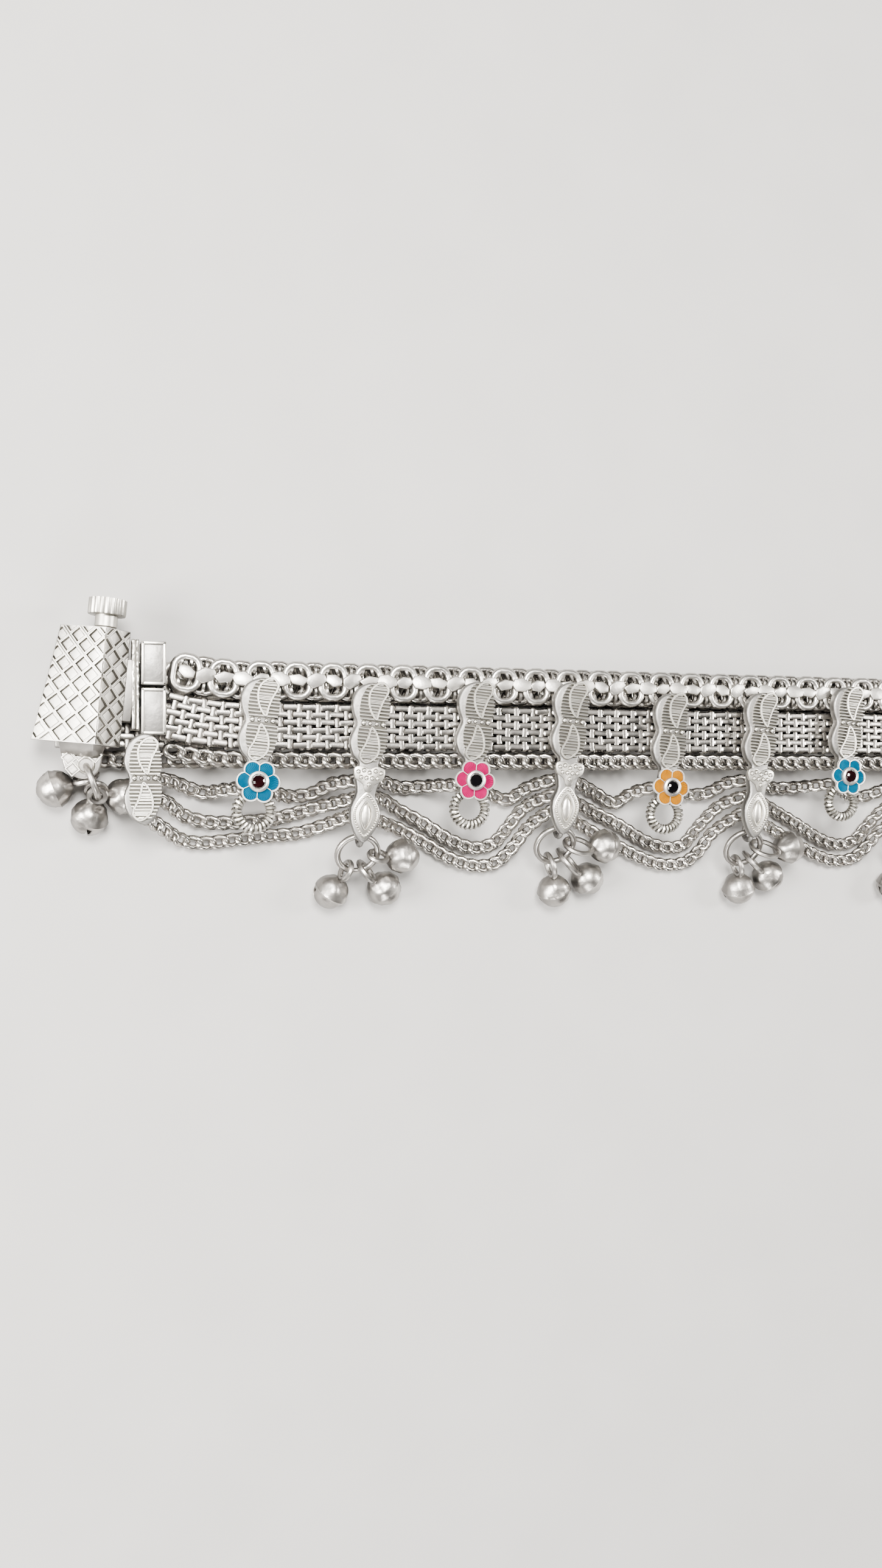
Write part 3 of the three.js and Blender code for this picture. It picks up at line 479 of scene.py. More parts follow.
# Wound ring under every other plate: a coil of fine wire round a silver ring, soldered to the back plate's
# neck. The upper swag hangs from a bar behind the neck.
COIL_TURNS, COIL_Y = 26, -21.2
PLATE_SILVERS = [matt_silver, bright_silver, recess_silver]
for index in (0, 2, 4, 6):
    neck = [(-1.6, -16.2), (-1.9, -18.2), (-1.2, -19.4), (1.2, -19.4), (1.5, -18.0), (1.3, -16.0)]
    whole = plate_start(neck)
    coil = []
    for step in range(COIL_TURNS * 8):
        turn, wind = 2 * math.pi * step / (COIL_TURNS * 8), 2 * math.pi * step / 8
        reach = 2.38 + 0.56 * math.cos(wind)
        coil.append((reach * math.cos(turn), reach * math.sin(turn), 0.56 * math.sin(wind)))
    middle = put(0, COIL_Y, PLATE + 0.4)
    stamp(whole, wire_mesh(coil, 0.24, True), [middle], 1)
    stamp(whole, ring_mesh(5.6, 5.6, 0.8, 0.8, 24, 8), [middle], 2)
    stamp(whole, box(-0.6, 0.6, -18.4, -17.0, 1.45, PLATE + 0.3), STILL)
    bmesh.ops.transform(whole, matrix=PLACES[index], verts=whole.verts)
    name = f"flower_plate_{index + 1}"
    piece(name + "_ornament", whole, PLATE_SILVERS, [name])

# Enamelled flowers: a thin scalloped silver disc edged with wire, and six petals on it parted by finer wires.
# Disc and petals are filled with glassy enamel over fine rays cut in the silver, which show through.
rim_silver = silver("rim silver", (1.0, 0.985, 0.96), (0.88, 0.87, 0.85), 0.34, 0.05, 3200.0, 0.6)


def enamel(name, deep, light):
    """Glass over cut silver: pale and dark rays run out from each flower's middle, given by the UV map."""
    def look(flow, places):
        rays = flow.node("UVMap", {"uv_map": "rays"}, {})
        turn = flow.node("SeparateXYZ", {}, {0: rays})
        beam = turn.maths("SINE", turn * 2.0 * math.pi) * 0.5 + 0.5
        cloud = flow.node("TexNoise", {}, {"Vector": places, "Scale": 900.0, "Detail": 2.0})
        return {
            "Base Color": (beam * 0.45 + cloud * 0.55).between(0.15, 0.8).blend((*deep, 1), (*light, 1)),
            "Roughness": 0.4, "Specular IOR Level": 0.0, "Coat Weight": 0.1, "Coat Roughness": 0.05,
            "Normal": flow.node("Bump", {}, {"Height": beam, "Strength": 0.25, "Distance": 0.0001}),
        }
    return finish_material(name, look)


ENAMELS = {
    "blue": enamel("blue enamel", (0.0, 0.03, 0.075), (0.0, 0.10, 0.18)),
    "pink": enamel("pink enamel", (0.17, 0.0, 0.03), (0.36, 0.0, 0.085)),
    "orange": enamel("orange enamel", (0.17, 0.052, 0.0), (0.42, 0.165, 0.0)),
}
FLOWER_Y = -17.1
FLOWER_Z = FACE + 0.25


def petal_line(reach, width, start, z):
    """The rounded outline of one petal that points along X."""
    half = [(start, 0.24 * width), (0.3 * start + 0.6 * reach, 0.45 * width), (reach - 0.24, 0.32 * width)]
    line = [(x, -y, z) for x, y in half] + [(reach, 0, z)] + [(x, y, z) for x, y in reversed(half)]
    return smooth_line(line, 4, True)


for index, colour in ((0, "blue"), (2, "pink"), (4, "orange"), (6, "blue")):
    whole = bmesh.new()
    disc = []
    for step in range(72):
        turn = 2 * math.pi * step / 72
        reach = 2.3 + 0.7 * abs(math.cos(3 * turn)) ** 0.8
        disc.append((reach * math.cos(turn), reach * math.sin(turn)))
    stamp(whole, slab(disc, FLOWER_Z, FLOWER_Z + 0.3, 0.06), STILL)
    stamp(whole, slab([(0.93 * x, 0.93 * y) for x, y in disc], FLOWER_Z + 0.2, FLOWER_Z + 0.36, 0), STILL, 1)
    rim = wire_mesh([(0.985 * x, 0.985 * y, FLOWER_Z + 0.38) for x, y in disc], 0.16, True)
    stamp(whole, rim, STILL)
    fill = bmesh.new()
    outline = petal_line(2.84, 2.5, 1.3, FLOWER_Z + 0.34)
    face = fill.faces.new([fill.verts.new(point) for point in outline])
    bmesh.ops.inset_region(fill, faces=[face], thickness=0.18, depth=0.14)
    bmesh.ops.inset_region(fill, faces=[face], thickness=0.3, depth=-0.05)
    petal = keep_mesh(fill)
    stamp(whole, petal, [put(about_z=60 * number) for number in range(6)], 1)
    wall = wire_mesh([(1.4, 0, FLOWER_Z + 0.42), (2.25, 0, FLOWER_Z + 0.42)], 0.07)
    stamp(whole, wall, [put(about_z=60 * number + 30) for number in range(6)])
    rays = whole.loops.layers.uv.new("rays")
    for face in whole.faces:
        for loop in face.loops:
            turn = math.atan2(loop.vert.co.y, loop.vert.co.x)
            loop[rays].uv = (turn / (2 * math.pi) * 60, loop.vert.co.xy.length / 3)
    bmesh.ops.transform(whole, matrix=PLACES[index] @ put(0, FLOWER_Y), verts=whole.verts)
    piece(f"flower_{index + 1}_petals", whole, [rim_silver, ENAMELS[colour]], [f"flower_{index + 1}"])

# Stones: a round faceted glass stone, flat on top, in each flower's middle. It is held in a turned silver
# cup whose lip is pressed over its edge.
def stone_look(name, colour):
    def look(flow, places):
        depth = flow.node("TexNoise", {}, {"Vector": places, "Scale": 1100.0, "Detail": 1.0})
        lit = [part * 2.4 for part in colour]
        return {"Base Color": depth.between(0.3, 0.7).blend((*colour, 1), (*lit, 1)),
                "Roughness": 0.06, "Specular IOR Level": 0.7, "Coat Weight": 1.0, "Coat Roughness": 0.03}
    return finish_material(name, look)


STONES = {
    "stone_garnet": stone_look("garnet", (0.004, 0.0003, 0.0006)),
    "stone_black": stone_look("black stone", (0.001, 0.0008, 0.001)),
}
for index, kind in ((0, "stone_garnet"), (2, "stone_black"), (4, "stone_black"), (6, "stone_garnet")):
    whole = bmesh.new()
    cup = bmesh.new()
    section = [(0.98, 0.0), (1.5, 0.0), (1.55, 0.4), (1.46, 0.72), (1.2, 0.84), (1.04, 0.72)]
    spots = [cup.verts.new((x, 0, z)) for x, z in section]
    for pair in zip(spots, spots[1:] + spots[:1]):
        cup.edges.new(pair)
    spin_round(cup, (0, 0, 1), 36)
    stamp(whole, keep_mesh(cup), STILL)
    stone = bmesh.new()
    bmesh.ops.create_cone(stone, cap_ends=True, segments=12, radius1=1.1, radius2=1.1, depth=0.45,
                          matrix=Matrix.Translation((0, 0, 0.45)))
    top = [face for face in stone.faces if face.normal.z > 0.9]
    bmesh.ops.inset_region(stone, faces=top, thickness=0.24, depth=0.28)
    bmesh.ops.inset_region(stone, faces=top, thickness=0.26, depth=0.14)
    stamp(whole, keep_mesh(stone), STILL, 1)
    seat = PLACES[index] @ put(0, FLOWER_Y, FLOWER_Z + 0.4, size=(0.95, 0.95, 0.85))
    bmesh.ops.transform(whole, matrix=seat, verts=whole.verts)
    name = f"stone_{index + 1}"
    piece(name + "_in_cup", whole, [rim_silver, STONES[kind]], [name], sharp=12)

# The plates between carry a triangle of dots and a leaf-shaped drop with a beaded edge, and a thick loop
# of wire behind the drop's tip. Soldered from small parts.
LEAF_Y = -21.6
LOOP = Vector((0, -24.6, PLATE - 1.12))
for index in (1, 3, 5, 7):
    neck = [(-1.9, -16.0), (-1.5, -18.4), (-2.2, -20.6), (-1.9, -23.0), (-0.6, -25.2), (0.6, -25.1),
            (2.0, -22.6), (2.05, -20.8), (1.2, -18.6), (1.9, -16.0)]
    whole = plate_start(neck)
    cluster = [(-2.2, -15.0), (-1.0, -14.6), (0, -15.0), (1.0, -14.6), (2.2, -15.0), (2.05, -16.4),
               (0.9, -17.2), (0.4, -18.2), (-0.4, -18.2), (-0.9, -17.2), (-2.05, -16.4)]
    stamp(whole, slab(smooth_outline(cluster), FACE - 0.3, FACE + 0.2, 0.12), STILL, 1)
    dot = ball_mesh(0.36)
    dots = [(-1.65, -15.5), (-0.85, -15.25), (0, -15.55), (0.85, -15.25), (1.65, -15.5), (-1.2, -16.25),
            (-0.4, -16.3), (0.4, -16.3), (1.2, -16.25), (0, -17.2)]
    stamp(whole, dot, [put(x, y, FACE + 0.2) for x, y in dots], 1)
    leaf = smooth_outline([(0, -18.2), (1.25, -19.4), (1.95, -20.9), (1.9, -22.2), (1.1, -23.9), (0, -25.0),
                           (-1.1, -23.9), (-1.9, -22.2), (-1.95, -20.9), (-1.25, -19.4)], 4)
    stamp(whole, slab(leaf, FACE - 0.5, FACE + 0.05, 0.15), STILL, 1)
    beads = [put(x * 0.84, LEAF_Y + (y - LEAF_Y) * 0.84, FACE + 0.08) for x, y in leaf]
    stamp(whole, ball_mesh(0.21, 8, 5), beads, 1)
    inner = [(x * 0.44, LEAF_Y + (y - LEAF_Y) * 0.58, FACE + 0.15) for x, y in leaf]
    stamp(whole, wire_mesh(inner, 0.15, True), STILL, 1)
    stamp(whole, ball_mesh(1.0, 16, 10), [put(0, LEAF_Y, FACE - 0.05, size=(0.75, 1.75, 0.32))], 1)
    stamp(whole, ring_mesh(3.28, 3.28, 0.84, 0.84, 20, 8), [put(*LOOP, 0, 90)])
    stamp(whole, box(-0.6, 0.6, -22.3, -16.2, 1.45, PLATE + 0.3), STILL)
    bmesh.ops.transform(whole, matrix=PLACES[index], verts=whole.verts)
    name = f"bell_plate_{index + 1}"
    piece(name + "_ornament", whole, PLATE_SILVERS, [name])

# Bells: each is two thin silver cups pressed round a pellet and soldered at the seam, a slit cut across the
# lower one, and dented by wear. Its small ring is soldered on and hangs on a larger open ring.
bell_silver = silver("bell silver", (0.72, 0.695, 0.66), (0.36, 0.345, 0.33), 0.3, 0.35, 1300.0, 0.5)
BELL, BELL_WIRE, RING_WIRE = 2.65, 0.84, 0.9


def bell_mesh(small, seed):
    """One bell with its middle at 0 and its ring above it along Z, the ring's wire middle at that radius."""
    whole = bmesh.new()
    ball = bmesh.new()
    bmesh.ops.create_uvsphere(ball, u_segments=32, v_segments=20, radius=BELL)
    for x in (-0.35, 0.35):
        bmesh.ops.bisect_plane(ball, geom=ball.verts[:] + ball.edges[:] + ball.faces[:], plane_co=(x, 0, 0),
                               plane_no=(1, 0, 0), dist=1e-5)
    bmesh.ops.bisect_plane(ball, geom=ball.verts[:] + ball.edges[:] + ball.faces[:], plane_co=(0, 0, -0.53),
                           plane_no=(0, 0, 1), dist=1e-5)
    slit = [face for face in ball.faces
            if abs(face.calc_center_median().x) < 0.35 and face.calc_center_median().z < -0.53]
    bmesh.ops.delete(ball, geom=slit, context="FACES")
    for vert in ball.verts:
        dent = noise.noise(vert.co * 0.55 + Vector((seed * 7.3, 0, seed * 3.1)))
        ripple = noise.noise(vert.co * 1.5 + Vector((0, seed * 5.7, 0)))
        seam = 0.05 * math.exp(-(vert.co.z / 0.22) ** 2)
        vert.co *= 0.97 - 0.14 * max(0.0, dent) - 0.05 * max(0.0, ripple) + seam
    bmesh.ops.solidify(ball, geom=ball.faces[:], thickness=0.22)
    stamp(whole, keep_mesh(ball), STILL)
    size = 2 * small + BELL_WIRE
    loop = ring_mesh(size, size, BELL_WIRE, BELL_WIRE, 20, 8)
    stamp(whole, loop, [put(z=BELL * 0.98 + small, about_x=90)])
    return keep_mesh(whole)


def hang_bells(name, centre, along, across, radius, bells):
    """A large ring, and bells that hang on it at those angles with their middles at those points."""
    big = bmesh.new()
    size = 2 * radius + RING_WIRE
    turn = Matrix((along, across, along.cross(across))).transposed().to_4x4()
    stamp(big, ring_mesh(size, size, RING_WIRE, RING_WIRE, 32, 10), [Matrix.Translation(centre) @ turn])
    piece(name + "_ring_wire", big, [bell_silver], [name + "_ring"])
    for number, (degrees, x, y, z) in enumerate(bells):
        angle = math.radians(degrees)
        link = centre + along * (radius * math.cos(angle)) + across * (radius * math.sin(angle))
        wire_way = across * math.cos(angle) - along * math.sin(angle)
        bell = Vector((x, y, max(z, BELL + 0.06)))
        up = link - bell
        small = (up.length - BELL * 0.98 + BELL_WIRE / 2 + RING_WIRE / 2 + 0.2) / 2
        up.normalize()
        side = (wire_way - up * wire_way.dot(up)).normalized()
        turn = Matrix((side.cross(up), side, up)).transposed().to_4x4()
        whole = bmesh.new()
        stamp(whole, bell_mesh(small, len(name) + 3 * number + x), [Matrix.Translation(bell) @ turn])
        bell_name = f"{name}_bell_{number + 1}"
        piece(bell_name + "_shell", whole, [bell_silver], [bell_name])


SLOPE, RING_REACH = math.radians(30), 2.95
BELL_SPOTS = {
    2: [(-25, -3.2, -8.2, 0), (25, 4.8, -7.9, 0), (80, 7.0, -3.1, 4.8)],
    4: [(-5, 1.2, -9.7, 0), (40, 6.7, -8.0, 0), (85, 8.7, -2.9, 4.8)],
    6: [(-5, 1.0, -9.2, 0), (40, 6.3, -7.4, 0), (85, 8.9, -2.7, 4.8)],
    8: [(-12, -1.2, -9.8, 0), (32, 4.6, -8.8, 0), (78, 7.6, -4.0, 0)],
}
for number, spots in BELL_SPOTS.items():
    loop = PLACES[number - 1] @ LOOP
    along = Vector((0, -math.cos(SLOPE), -math.sin(SLOPE)))
    hang_bells(f"drop_{number}", loop + along * RING_REACH, along, Vector((1, 0, 0)), RING_REACH,
               [(angle, loop.x + x, loop.y + y, z) for angle, x, y, z in spots])

# Swags: three strands of curb chain that hang in bows from the backs of the plates and lie on the surface
# between them.
HUNG = 6.6
UPPER_SWAG = [
    (-60.4, -16.9, HUNG), (-57.7, -16.9, 3.9), (-54.3, -18.1, 1.3), (-52.2, -18.6, 1.4), (-49.4, -18.2, 4.2),
    (-46.1, -17.9, HUNG), (-43.0, -18.6, 3.6), (-40.2, -19.2, 1.3), (-36.9, -18.8, 1.3), (-34.4, -17.4, 3.6),
    (-30.6, -16.9, HUNG), (-26.6, -17.1, 2.8), (-23.6, -17.9, 1.3), (-20.3, -17.8, 1.6), (-17.9, -17.6, 4.4),
    (-14.8, -17.7, HUNG), (-11.2, -18.3, 3.2), (-8.3, -19.4, 1.3), (-6.2, -19.7, 1.6), (-3.9, -17.9, 3.6),
    (-0.4, -16.7, HUNG), (4.2, -17.1, 2.8), (7.9, -18.6, 1.3), (11.2, -20.4, 1.6), (13.4, -18.7, 4.0),
    (16.7, -17.9, HUNG), (20.4, -18.6, 3.0), (24.2, -19.1, 1.3), (27.4, -18.8, 2.2), (29.6, -17.2, 4.8),
    (32.3, -16.9, HUNG), (36.4, -17.1, 2.8), (39.6, -18.0, 1.3), (42.9, -18.0, 1.6), (45.2, -17.7, 4.4),
    (48.2, -17.5, HUNG), (51.6, -18.4, 3.2), (54.6, -19.4, 1.3), (57.4, -19.4, 1.6), (60.6, -17.9, 4.0),
    (63.8, -16.9, HUNG)]
MIDDLE_SWAG = [
    (-60.8, -19.3, HUNG), (-58.0, -19.9, 3.9), (-55.4, -21.8, 1.5), (-52.0, -22.8, 1.3), (-48.0, -22.9, 1.3),
    (-42.8, -22.5, 1.3), (-38.6, -21.5, 1.3), (-35.0, -20.5, 2.6), (-30.8, -19.3, HUNG), (-26.8, -19.6, 2.8),
    (-24.0, -21.1, 1.3), (-20.0, -23.2, 1.3), (-15.7, -25.8, 1.3), (-11.8, -27.1, 1.3), (-8.6, -26.3, 1.3),
    (-6.4, -24.0, 1.4), (-4.2, -20.9, 3.0), (-0.6, -19.0, HUNG), (4.2, -20.2, 2.4), (7.9, -21.8, 1.3),
    (12.0, -23.7, 1.3), (16.5, -26.3, 1.3), (20.5, -27.5, 1.3), (23.6, -27.0, 1.3), (26.3, -24.0, 1.6),
    (28.8, -20.8, 3.8), (32.1, -19.3, HUNG), (36.6, -20.2, 2.4), (40.3, -21.8, 1.3), (44.4, -24.0, 1.3),
    (48.6, -26.4, 1.3), (52.4, -27.5, 1.3), (55.6, -26.7, 1.3), (58.0, -24.2, 1.5), (60.6, -20.9, 3.6),
    (63.6, -19.3, HUNG)]
LOWER_SWAG = [
    (-61.2, -21.7, HUNG), (-58.3, -23.6, 3.9), (-55.6, -25.3, 1.5), (-52.4, -25.8, 1.3), (-48.0, -25.4, 1.3),
    (-43.0, -24.9, 1.3), (-39.0, -24.6, 1.3), (-35.4, -23.5, 2.2), (-31.2, -21.7, HUNG), (-26.9, -23.0, 3.0),
    (-23.7, -24.1, 1.3), (-19.6, -26.3, 1.3), (-15.7, -28.6, 1.3), (-11.8, -29.8, 1.3), (-8.6, -29.5, 1.3),
    (-6.0, -27.4, 1.6), (-3.6, -23.7, 3.6), (-0.8, -21.3, HUNG), (3.4, -22.9, 3.2), (6.2, -24.1, 1.4),
    (10.4, -26.3, 1.3), (15.2, -28.7, 1.3), (19.6, -30.2, 1.3), (23.6, -30.0, 1.3), (26.3, -28.1, 1.5),
    (28.2, -24.9, 3.0), (31.9, -21.7, HUNG), (35.6, -23.0, 3.0), (38.8, -24.3, 1.3), (43.0, -26.6, 1.3),
    (47.4, -28.9, 1.3), (51.6, -30.2, 1.3), (55.2, -29.8, 1.3), (57.8, -27.8, 1.5), (60.0, -24.7, 3.0),
    (63.4, -21.7, HUNG)]
SWAG_PITCH = 1.85
swag_link = ring_mesh(3.15, 2.3, 0.84, 0.8, 12, 6, CURB_TWIST)
for name, route in (("upper", UPPER_SWAG), ("middle", MIDDLE_SWAG), ("lower", LOWER_SWAG)):
    strand = bmesh.new()
    stamp(strand, swag_link, walk(smooth_line(route, 6), SWAG_PITCH))
    piece(f"swag_{name}_links", strand, [chain_silver], [f"swag_{name}"], sharp=75)

# Leaf plate at the clasp's end: an ornament of its own with the same two ribbed wings, stamped and cut like
# the others. The fine chain and the three strands are soldered to its back.
LEAF_X, LEAF_FACE = -61.2, UPPER + 3.15
leaf_plate = bmesh.new()
back = [(-0.6, -10.7), (0.9, -10.8), (1.8, -12.2), (1.95, -14.6), (1.1, -16.6), (1.85, -18.4), (1.95, -20.2),
        (1.1, -22.4), (-0.5, -22.8), (-2.2, -21.4), (-2.75, -19.0), (-2.0, -16.8), (-2.75, -14.6),
        (-2.2, -12.0)]
stamp(leaf_plate, slab(smooth_outline(back), UPPER + 1.9, LEAF_FACE, 0.35, 3), [put(LEAF_X)])
stamp(leaf_plate, box(LEAF_X + 0.2, LEAF_X + 1.4, -22.0, -16.4, 7.9, UPPER + 2.1), STILL)
shapes = bmesh.new()
wings(shapes, -16.6, 5.5, 5.7, 4.3, LEAF_FACE)
stamp(leaf_plate, keep_mesh(shapes), [put(LEAF_X)], None)
piece("leaf_plate_ornament", leaf_plate, PLATE_SILVERS, ["leaf_plate"])

# End caps: folded plates of sheet silver that grip the heavy chain and the woven band, with a raised edge
# soldered round the face.
CAP_END, CAP_RISE, CAP_WIDTH, CAP_LIP = -58.3, 1.3, 3.3, 0.22
for name, top, bottom, depth in (("upper", CAP_RISE + 0.6, CAP_RISE - 5.3, 3.0),
                                 ("lower", CAP_RISE - 5.7, CAP_RISE - 12.0, 2.8)):
    cap = bmesh.new()
    low, high = UPPER - depth / 2 - 0.35, UPPER + depth / 2 + 0.35
    stamp(cap, box(CAP_END - CAP_WIDTH, CAP_END, bottom, top, low, high - 0.25, 0.15), STILL)
    for start, end in ((CAP_END - CAP_WIDTH, CAP_END - CAP_WIDTH + 2 * CAP_LIP),
                       (CAP_END - 2 * CAP_LIP, CAP_END)):
        stamp(cap, box(start, end, bottom, top, high - 0.6, high, 0.12), STILL, 1)
    for start, end in ((bottom, bottom + 2 * CAP_LIP), (top - 2 * CAP_LIP, top)):
        stamp(cap, box(CAP_END - CAP_WIDTH, CAP_END, start, end, high - 0.6, high, 0.12), STILL, 1)
    piece(f"end_cap_{name}_plate", cap, [matt_silver, bright_silver], [f"end_cap_{name}"])

# Clasp tongue: the eye that the screw passes through, soldered to the strip that carries the end caps. The
# strip is cast with two rough rails and a tarnished groove between them.
CLASP = Matrix.Translation((-66.85, -3.3, 6.8)) @ Matrix.Rotation(math.radians(-5.3), 4, "Z")
STRIP_X = CAP_END - 3.55


def tube_mesh(outer, inner, start, end):
    """A tube along Y, or a rod where inner is 0."""
    part = bmesh.new()
    section = [(inner, start), (outer - 0.12, start), (outer, start + 0.12), (outer, end - 0.12),
               (outer - 0.12, end), (inner, end)]
    spots = [part.verts.new((x, y, 0)) for x, y in section]
    for pair in zip(spots, spots[1:]):
        part.edges.new(pair)
    if inner:
        part.edges.new((spots[-1], spots[0]))
    spin_round(part, (0, 1, 0), 28)
    bmesh.ops.remove_doubles(part, verts=part.verts, dist=1e-4)
    bmesh.ops.recalc_face_normals(part, faces=part.faces)
    return keep_mesh(part)


COVER_TOP, COVER_END = 6.71, -8.89
EYE_TOP, EYE_END = COVER_TOP - 3.6, COVER_TOP - 12.0
tongue = bmesh.new()
stamp(tongue, tube_mesh(1.9, 1.4, EYE_END, EYE_TOP), [CLASP])
stamp(tongue, box(1.5, 4.4, EYE_END, EYE_TOP, -1.2, 0.3), [CLASP])
stamp(tongue, box(STRIP_X - 0.9, STRIP_X - 0.05, -9.95, 2.15, UPPER - 1.4, UPPER + 0.95, 0.1), STILL, 2)
for left, right in ((-0.95, -0.56), (-0.36, 0.0)):
    rail = bmesh.new()
    bmesh.ops.create_cube(rail, size=1.0)
    stand = put(STRIP_X + (left + right) / 2, -3.9, UPPER, size=(right - left, 12.2, 2.6))
    bmesh.ops.transform(rail, matrix=stand, verts=rail.verts)
    long_edges = [item for item in rail.edges if item.calc_length() > 5]
    bmesh.ops.subdivide_edges(rail, edges=long_edges, cuts=40, use_grid_fill=True)
    round_edges(rail, [item for item in rail.edges if item.calc_face_angle(0) > 1.2], 0.1)
    for vert in rail.verts:
        vert.co += Vector((0.0, 0.0, 0.16 * noise.noise(vert.co * 1.9) + 0.14 * noise.noise(vert.co * 3.7)))
    stamp(tongue, keep_mesh(rail), STILL, 1)
piece("clasp_tongue_strip", tongue, [plain_silver, bright_silver, recess_silver], ["clasp_tongue"])

# Clasp cover: a folded silver roof over the eye, cast with a lattice of small raised squares, each set in a
# dark groove and a frame. Its foot carries a ring of bells, and a bar behind it holds the ends of the lower
# half.
COVER_LENGTH = COVER_TOP - COVER_END
FLARE = 2.4 / 5.8


def drawn_out(sections):
    """A solid drawn out from the first section through all the others, point by point."""
    part = bmesh.new()
    part.faces.new([part.verts.new(spot) for spot in sections[0]])
    for section, following in zip(sections, sections[1:]):
        end = [face for face in part.faces if all(min((vert.co - spot).length for spot in section) < 1e-4
                                                  for vert in face.verts)]
        made = bmesh.ops.extrude_face_region(part, geom=end)["geom"]
        for vert in [item for item in made if isinstance(item, bmesh.types.BMVert)]:
            nearest = min(range(len(section)), key=lambda number: (vert.co - section[number]).length)
            vert.co = following[nearest]
        if section is not sections[0]:
            bmesh.ops.delete(part, geom=end, context="FACES_ONLY")
    bmesh.ops.recalc_face_normals(part, faces=part.faces)
    return keep_mesh(part)


FLOOR = -2.2
top_section = [(3.3, FLOOR), (3.3, 0.8), (3.0, 1.2), (0.0, 3.4), (-5.3, 0.5), (-5.8, 0.0), (-5.8, FLOOR)]
sections = []
for step in range(14):
    down = step / 13
    wave = 0.18 * math.sin(step * 1.9)
    sections.append([Vector((x * (1 + FLARE * down) if x < 0 else x + (wave if x == 0 else 0),
                             COVER_TOP - COVER_LENGTH * down, z)) for x, z in top_section])
cover = bmesh.new()
stamp(cover, drawn_out(sections), [CLASP])
cell = bmesh.new()
bmesh.ops.create_cube(cell, size=1.0)
top = [face for face in cell.faces if face.normal.z > 0.9]
for face in cell.faces:
    face.material_index = 1
bmesh.ops.inset_region(cell, faces=top, thickness=0.14)
groove = bmesh.ops.inset_region(cell, faces=top, thickness=0.12, depth=-0.85)["faces"]
bmesh.ops.inset_region(cell, faces=top, thickness=0.05, depth=0.5)
for face in groove:
    face.material_index = 2
cell_mesh = keep_mesh(cell)


def lattice(whole, spot_at, limits):
    """Raised frames in diagonal rows over a sloping face. They end at its limits, which are points with
    normals that look outward. spot_at gives a point from shares across and down."""
    field = bmesh.new()
    for row in range(13):
        for column in range(-1, 4):
            across, down = (column + 0.5 * (row % 2)) * 0.4, row / 12
            spot = spot_at(across, down)
            u = (spot_at(across + 0.01, down) - spot).normalized()
            v = (spot_at(across, down + 0.01) - spot).normalized()
            normal = u.cross(v).normalized()
            normal *= math.copysign(1, normal.z)
            edge_way = (u - v).normalized()
            turn = Matrix((edge_way, normal.cross(edge_way), normal)).transposed().to_4x4()
            size = 0.283 * (spot_at(1, down) - spot_at(0, down)).length
            place = Matrix.Translation(spot) @ turn @ Matrix.Diagonal((size, size, 0.8, 1))
            stamp(field, cell_mesh, [place], None)
    for point, outward in limits:
        bmesh.ops.bisect_plane(field, geom=field.verts[:] + field.edges[:] + field.faces[:], plane_co=point,
                               plane_no=outward, clear_outer=True)
    bmesh.ops.holes_fill(field, edges=field.edges[:], sides=0)
    stamp(whole, keep_mesh(field), [CLASP], None)


def left_face(across, down):
    return Vector((-5.3 * (1 + FLARE * down) * across, COVER_TOP - COVER_LENGTH * down, 3.4 - 2.9 * across))


def right_face(across, down):
    return Vector((5.7 * across, COVER_TOP - COVER_LENGTH * down, 3.4 - 4.18 * across))


ends = [((0, COVER_TOP - 0.1, 0), (0, 1, 0)), ((0, COVER_END + 0.1, 0), (0, -1, 0))]
lattice(cover, left_face, ends + [((-0.1, 0, 0), (1, 0, 0)), ((-5.7, COVER_TOP, 0), (-0.988, 0.152, 0))])
lattice(cover, right_face, ends + [((0.1, 0, 0), (-1, 0, 0)), ((3.2, 0, 0), (1, 0, 0))])
# Each row of the shoulder: its Y, its left and right edge, and the heights of its ridge and its edges.
SHOULDER = [(-11.7, -72.3, -66.3, 9.9, 7.6), (-12.6, -72.1, -66.3, 9.3, 7.2), (-13.2, -72.0, -66.5, 8.2, 6.6),
            (-13.7, -71.9, -66.7, 6.9, 6.2), (-14.0, -71.8, -66.8, 6.2, 6.1)]
sections = []
for y, left, right, ridge_z, edge_z in SHOULDER:
    shape = ((left, 5.6), (left, edge_z - 0.3), (left + 1.6, (edge_z + ridge_z) / 2 - 0.4), (-67.9, ridge_z),
             (right - 0.2, edge_z), (right, 5.6))
    sections.append([Vector((x, y, z)) for x, z in shape])
stamp(cover, drawn_out(sections), STILL)
foot_line = [(-71.6, -11.0), (-66.9, -11.2), (-66.7, -14.6), (-67.6, -16.3), (-69.4, -16.7), (-71.3, -15.6),
             (-71.9, -13.4)]
stamp(cover, slab(smooth_outline(foot_line, 4), 5.3, 6.3, 0.25, 3), STILL)
for x, y, turn in ((-71.0, -13.9, 40), (-70.5, -15.4, 40), (-69.6, -13.4, 40), (-67.6, -13.6, 50)):
    stamp(cover, cell_mesh, [put(x, y, 6.25, about_z=turn, size=(1.45, 1.45, 0.7))], None)
HOLE = Vector((-68.75, -14.85, 5.8))
stamp(cover, ring_mesh(2.5, 2.5, 0.4, 0.6, 20, 6), [put(HOLE.x, HOLE.y, 6.3)], 1)
stamp(cover, box(-72.7, -69.5, -12.4, -0.3, 0, 4.9, 0.2), STILL)
stamp(cover, box(-71.5, -69.5, -15.3, -12, 0, 5.5, 0.2), STILL)
piece("clasp_cover_roof", cover, [plain_silver, bright_silver, recess_silver], ["clasp_cover"])

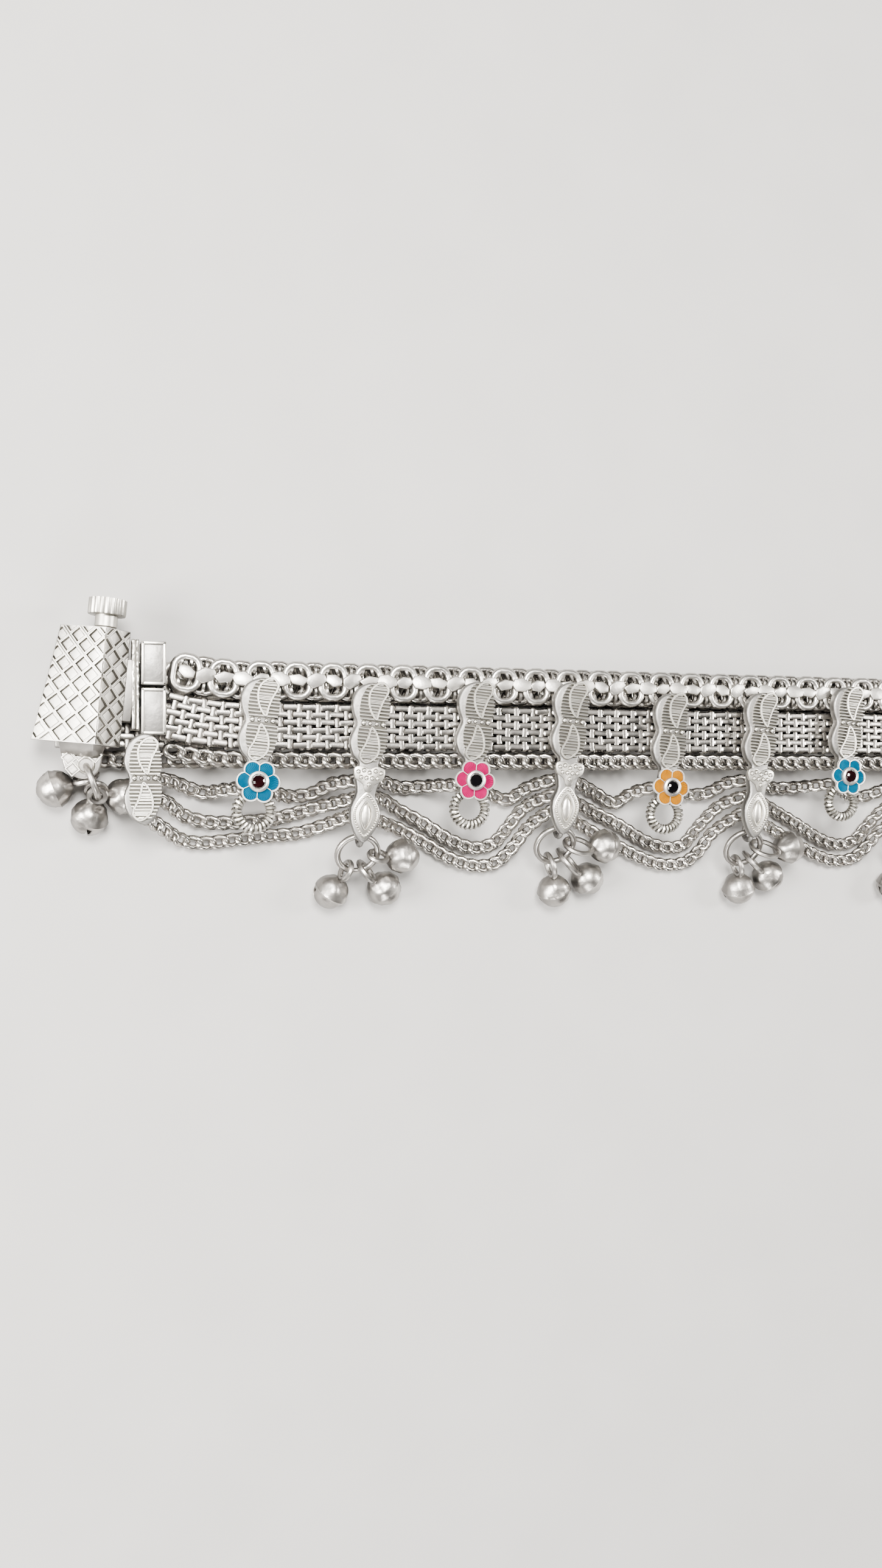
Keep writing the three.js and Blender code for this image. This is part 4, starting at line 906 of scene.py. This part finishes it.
# Screw pin: turned from a silver rod. It turns in the clasp's eye and holds cover and tongue together. Its
# head is knurled round the edge, above a plain collar.
screw = bmesh.new()
stamp(screw, tube_mesh(1.1, 0, COVER_END + 1.2, COVER_TOP + 0.5), [CLASP])
stamp(screw, tube_mesh(1.5, 0, COVER_TOP + 0.3, COVER_TOP + 2.1), [CLASP], 1)
knurl = []
for step in range(72):
    reach = 2.55 - (0.2, 0.06, 0.0, 0.06)[step % 4]
    knurl.append((reach * math.cos(math.pi * step / 36), reach * math.sin(math.pi * step / 36)))
stamp(screw, slab(knurl, 0, 2.2, 0.2), [CLASP @ put(0, COVER_TOP + 4.1, 0, 90)], 1)
piece("clasp_screw_pin", screw, [plain_silver, bright_silver], ["clasp_screw"], body="screw")

# Ring and bells on the cover's foot: a silver ring through the foot's hole, with three dented bells on it,
# made like the others.
way = Vector((0.35, -0.94, 0)).normalized()
spots = ((106, -3.9, -3.2), (18, 0.6, -7.1), (56, 5.2, -4.2))
hang_bells("clasp", HOLE + way * 2.25 + Vector((0, 0, -0.4)), way, Vector((0, 0, -1)), 2.3,
           [(angle, HOLE.x + x, HOLE.y + y, 0) for angle, x, y in spots])

# Studio: a pale paper floor, four soft light panels (above and behind, right, front and left) in a dim room,
# and the camera where the photograph was taken from.
floor_mesh = bmesh.new()
bmesh.ops.create_grid(floor_mesh, x_segments=1, y_segments=1, size=1.5)
floor = bpy.data.objects.new("floor", keep_mesh(floor_mesh))
bpy.context.scene.collection.objects.link(floor)


def floor_look(flow, places):
    grain = flow.node("TexNoise", {}, {"Vector": places, "Scale": 60.0})
    colour = grain.between(0.2, 0.8).blend((0.52, 0.515, 0.51, 1), (0.56, 0.555, 0.55, 1))
    return {"Base Color": colour, "Roughness": 0.9}


floor.data.materials.append(finish_material("floor paper", floor_look))
world = bpy.data.worlds.new("room")
bpy.context.scene.world = world
world.use_nodes = True
world.node_tree.nodes["Background"].inputs["Color"].default_value = (0.30, 0.31, 0.33, 1)
world.node_tree.nodes["Background"].inputs["Strength"].default_value = 0.14
for name, spot, target, size, power in (
        ("panel above", (-0.10, 0.16, 0.46), (0, 0, 0), 0.16, 6.3),
        ("panel right", (0.34, 0.05, 0.26), (0, 0, 0), 0.1, 1.7),
        ("panel front", (-0.06, -0.40, 0.22), (-0.03, 0, 0), 0.12, 1.2),
        ("panel left", (-0.40, -0.02, 0.24), (-0.04, 0, 0), 0.2, 5.6)):
    lamp = bpy.data.lights.new(name, "AREA")
    lamp.size, lamp.energy, lamp.color = size, power, (1.0, 0.965, 0.91)
    holder = bpy.data.objects.new(name, lamp)
    holder.location = spot
    holder.rotation_euler = (Vector(target) - Vector(spot)).to_track_quat("-Z", "Y").to_euler()
    bpy.context.scene.collection.objects.link(holder)
camera_data = bpy.data.cameras.new("camera")
camera_data.lens, camera_data.sensor_width, camera_data.clip_start = 29.35, 36.0, 0.001
camera = bpy.data.objects.new("camera", camera_data)
camera.location = (-0.07373, -0.00276, 0.18475)
camera.rotation_euler = (0.0, math.radians(-17.5), 0.0)
bpy.context.scene.collection.objects.link(camera)
bpy.context.scene.camera = camera
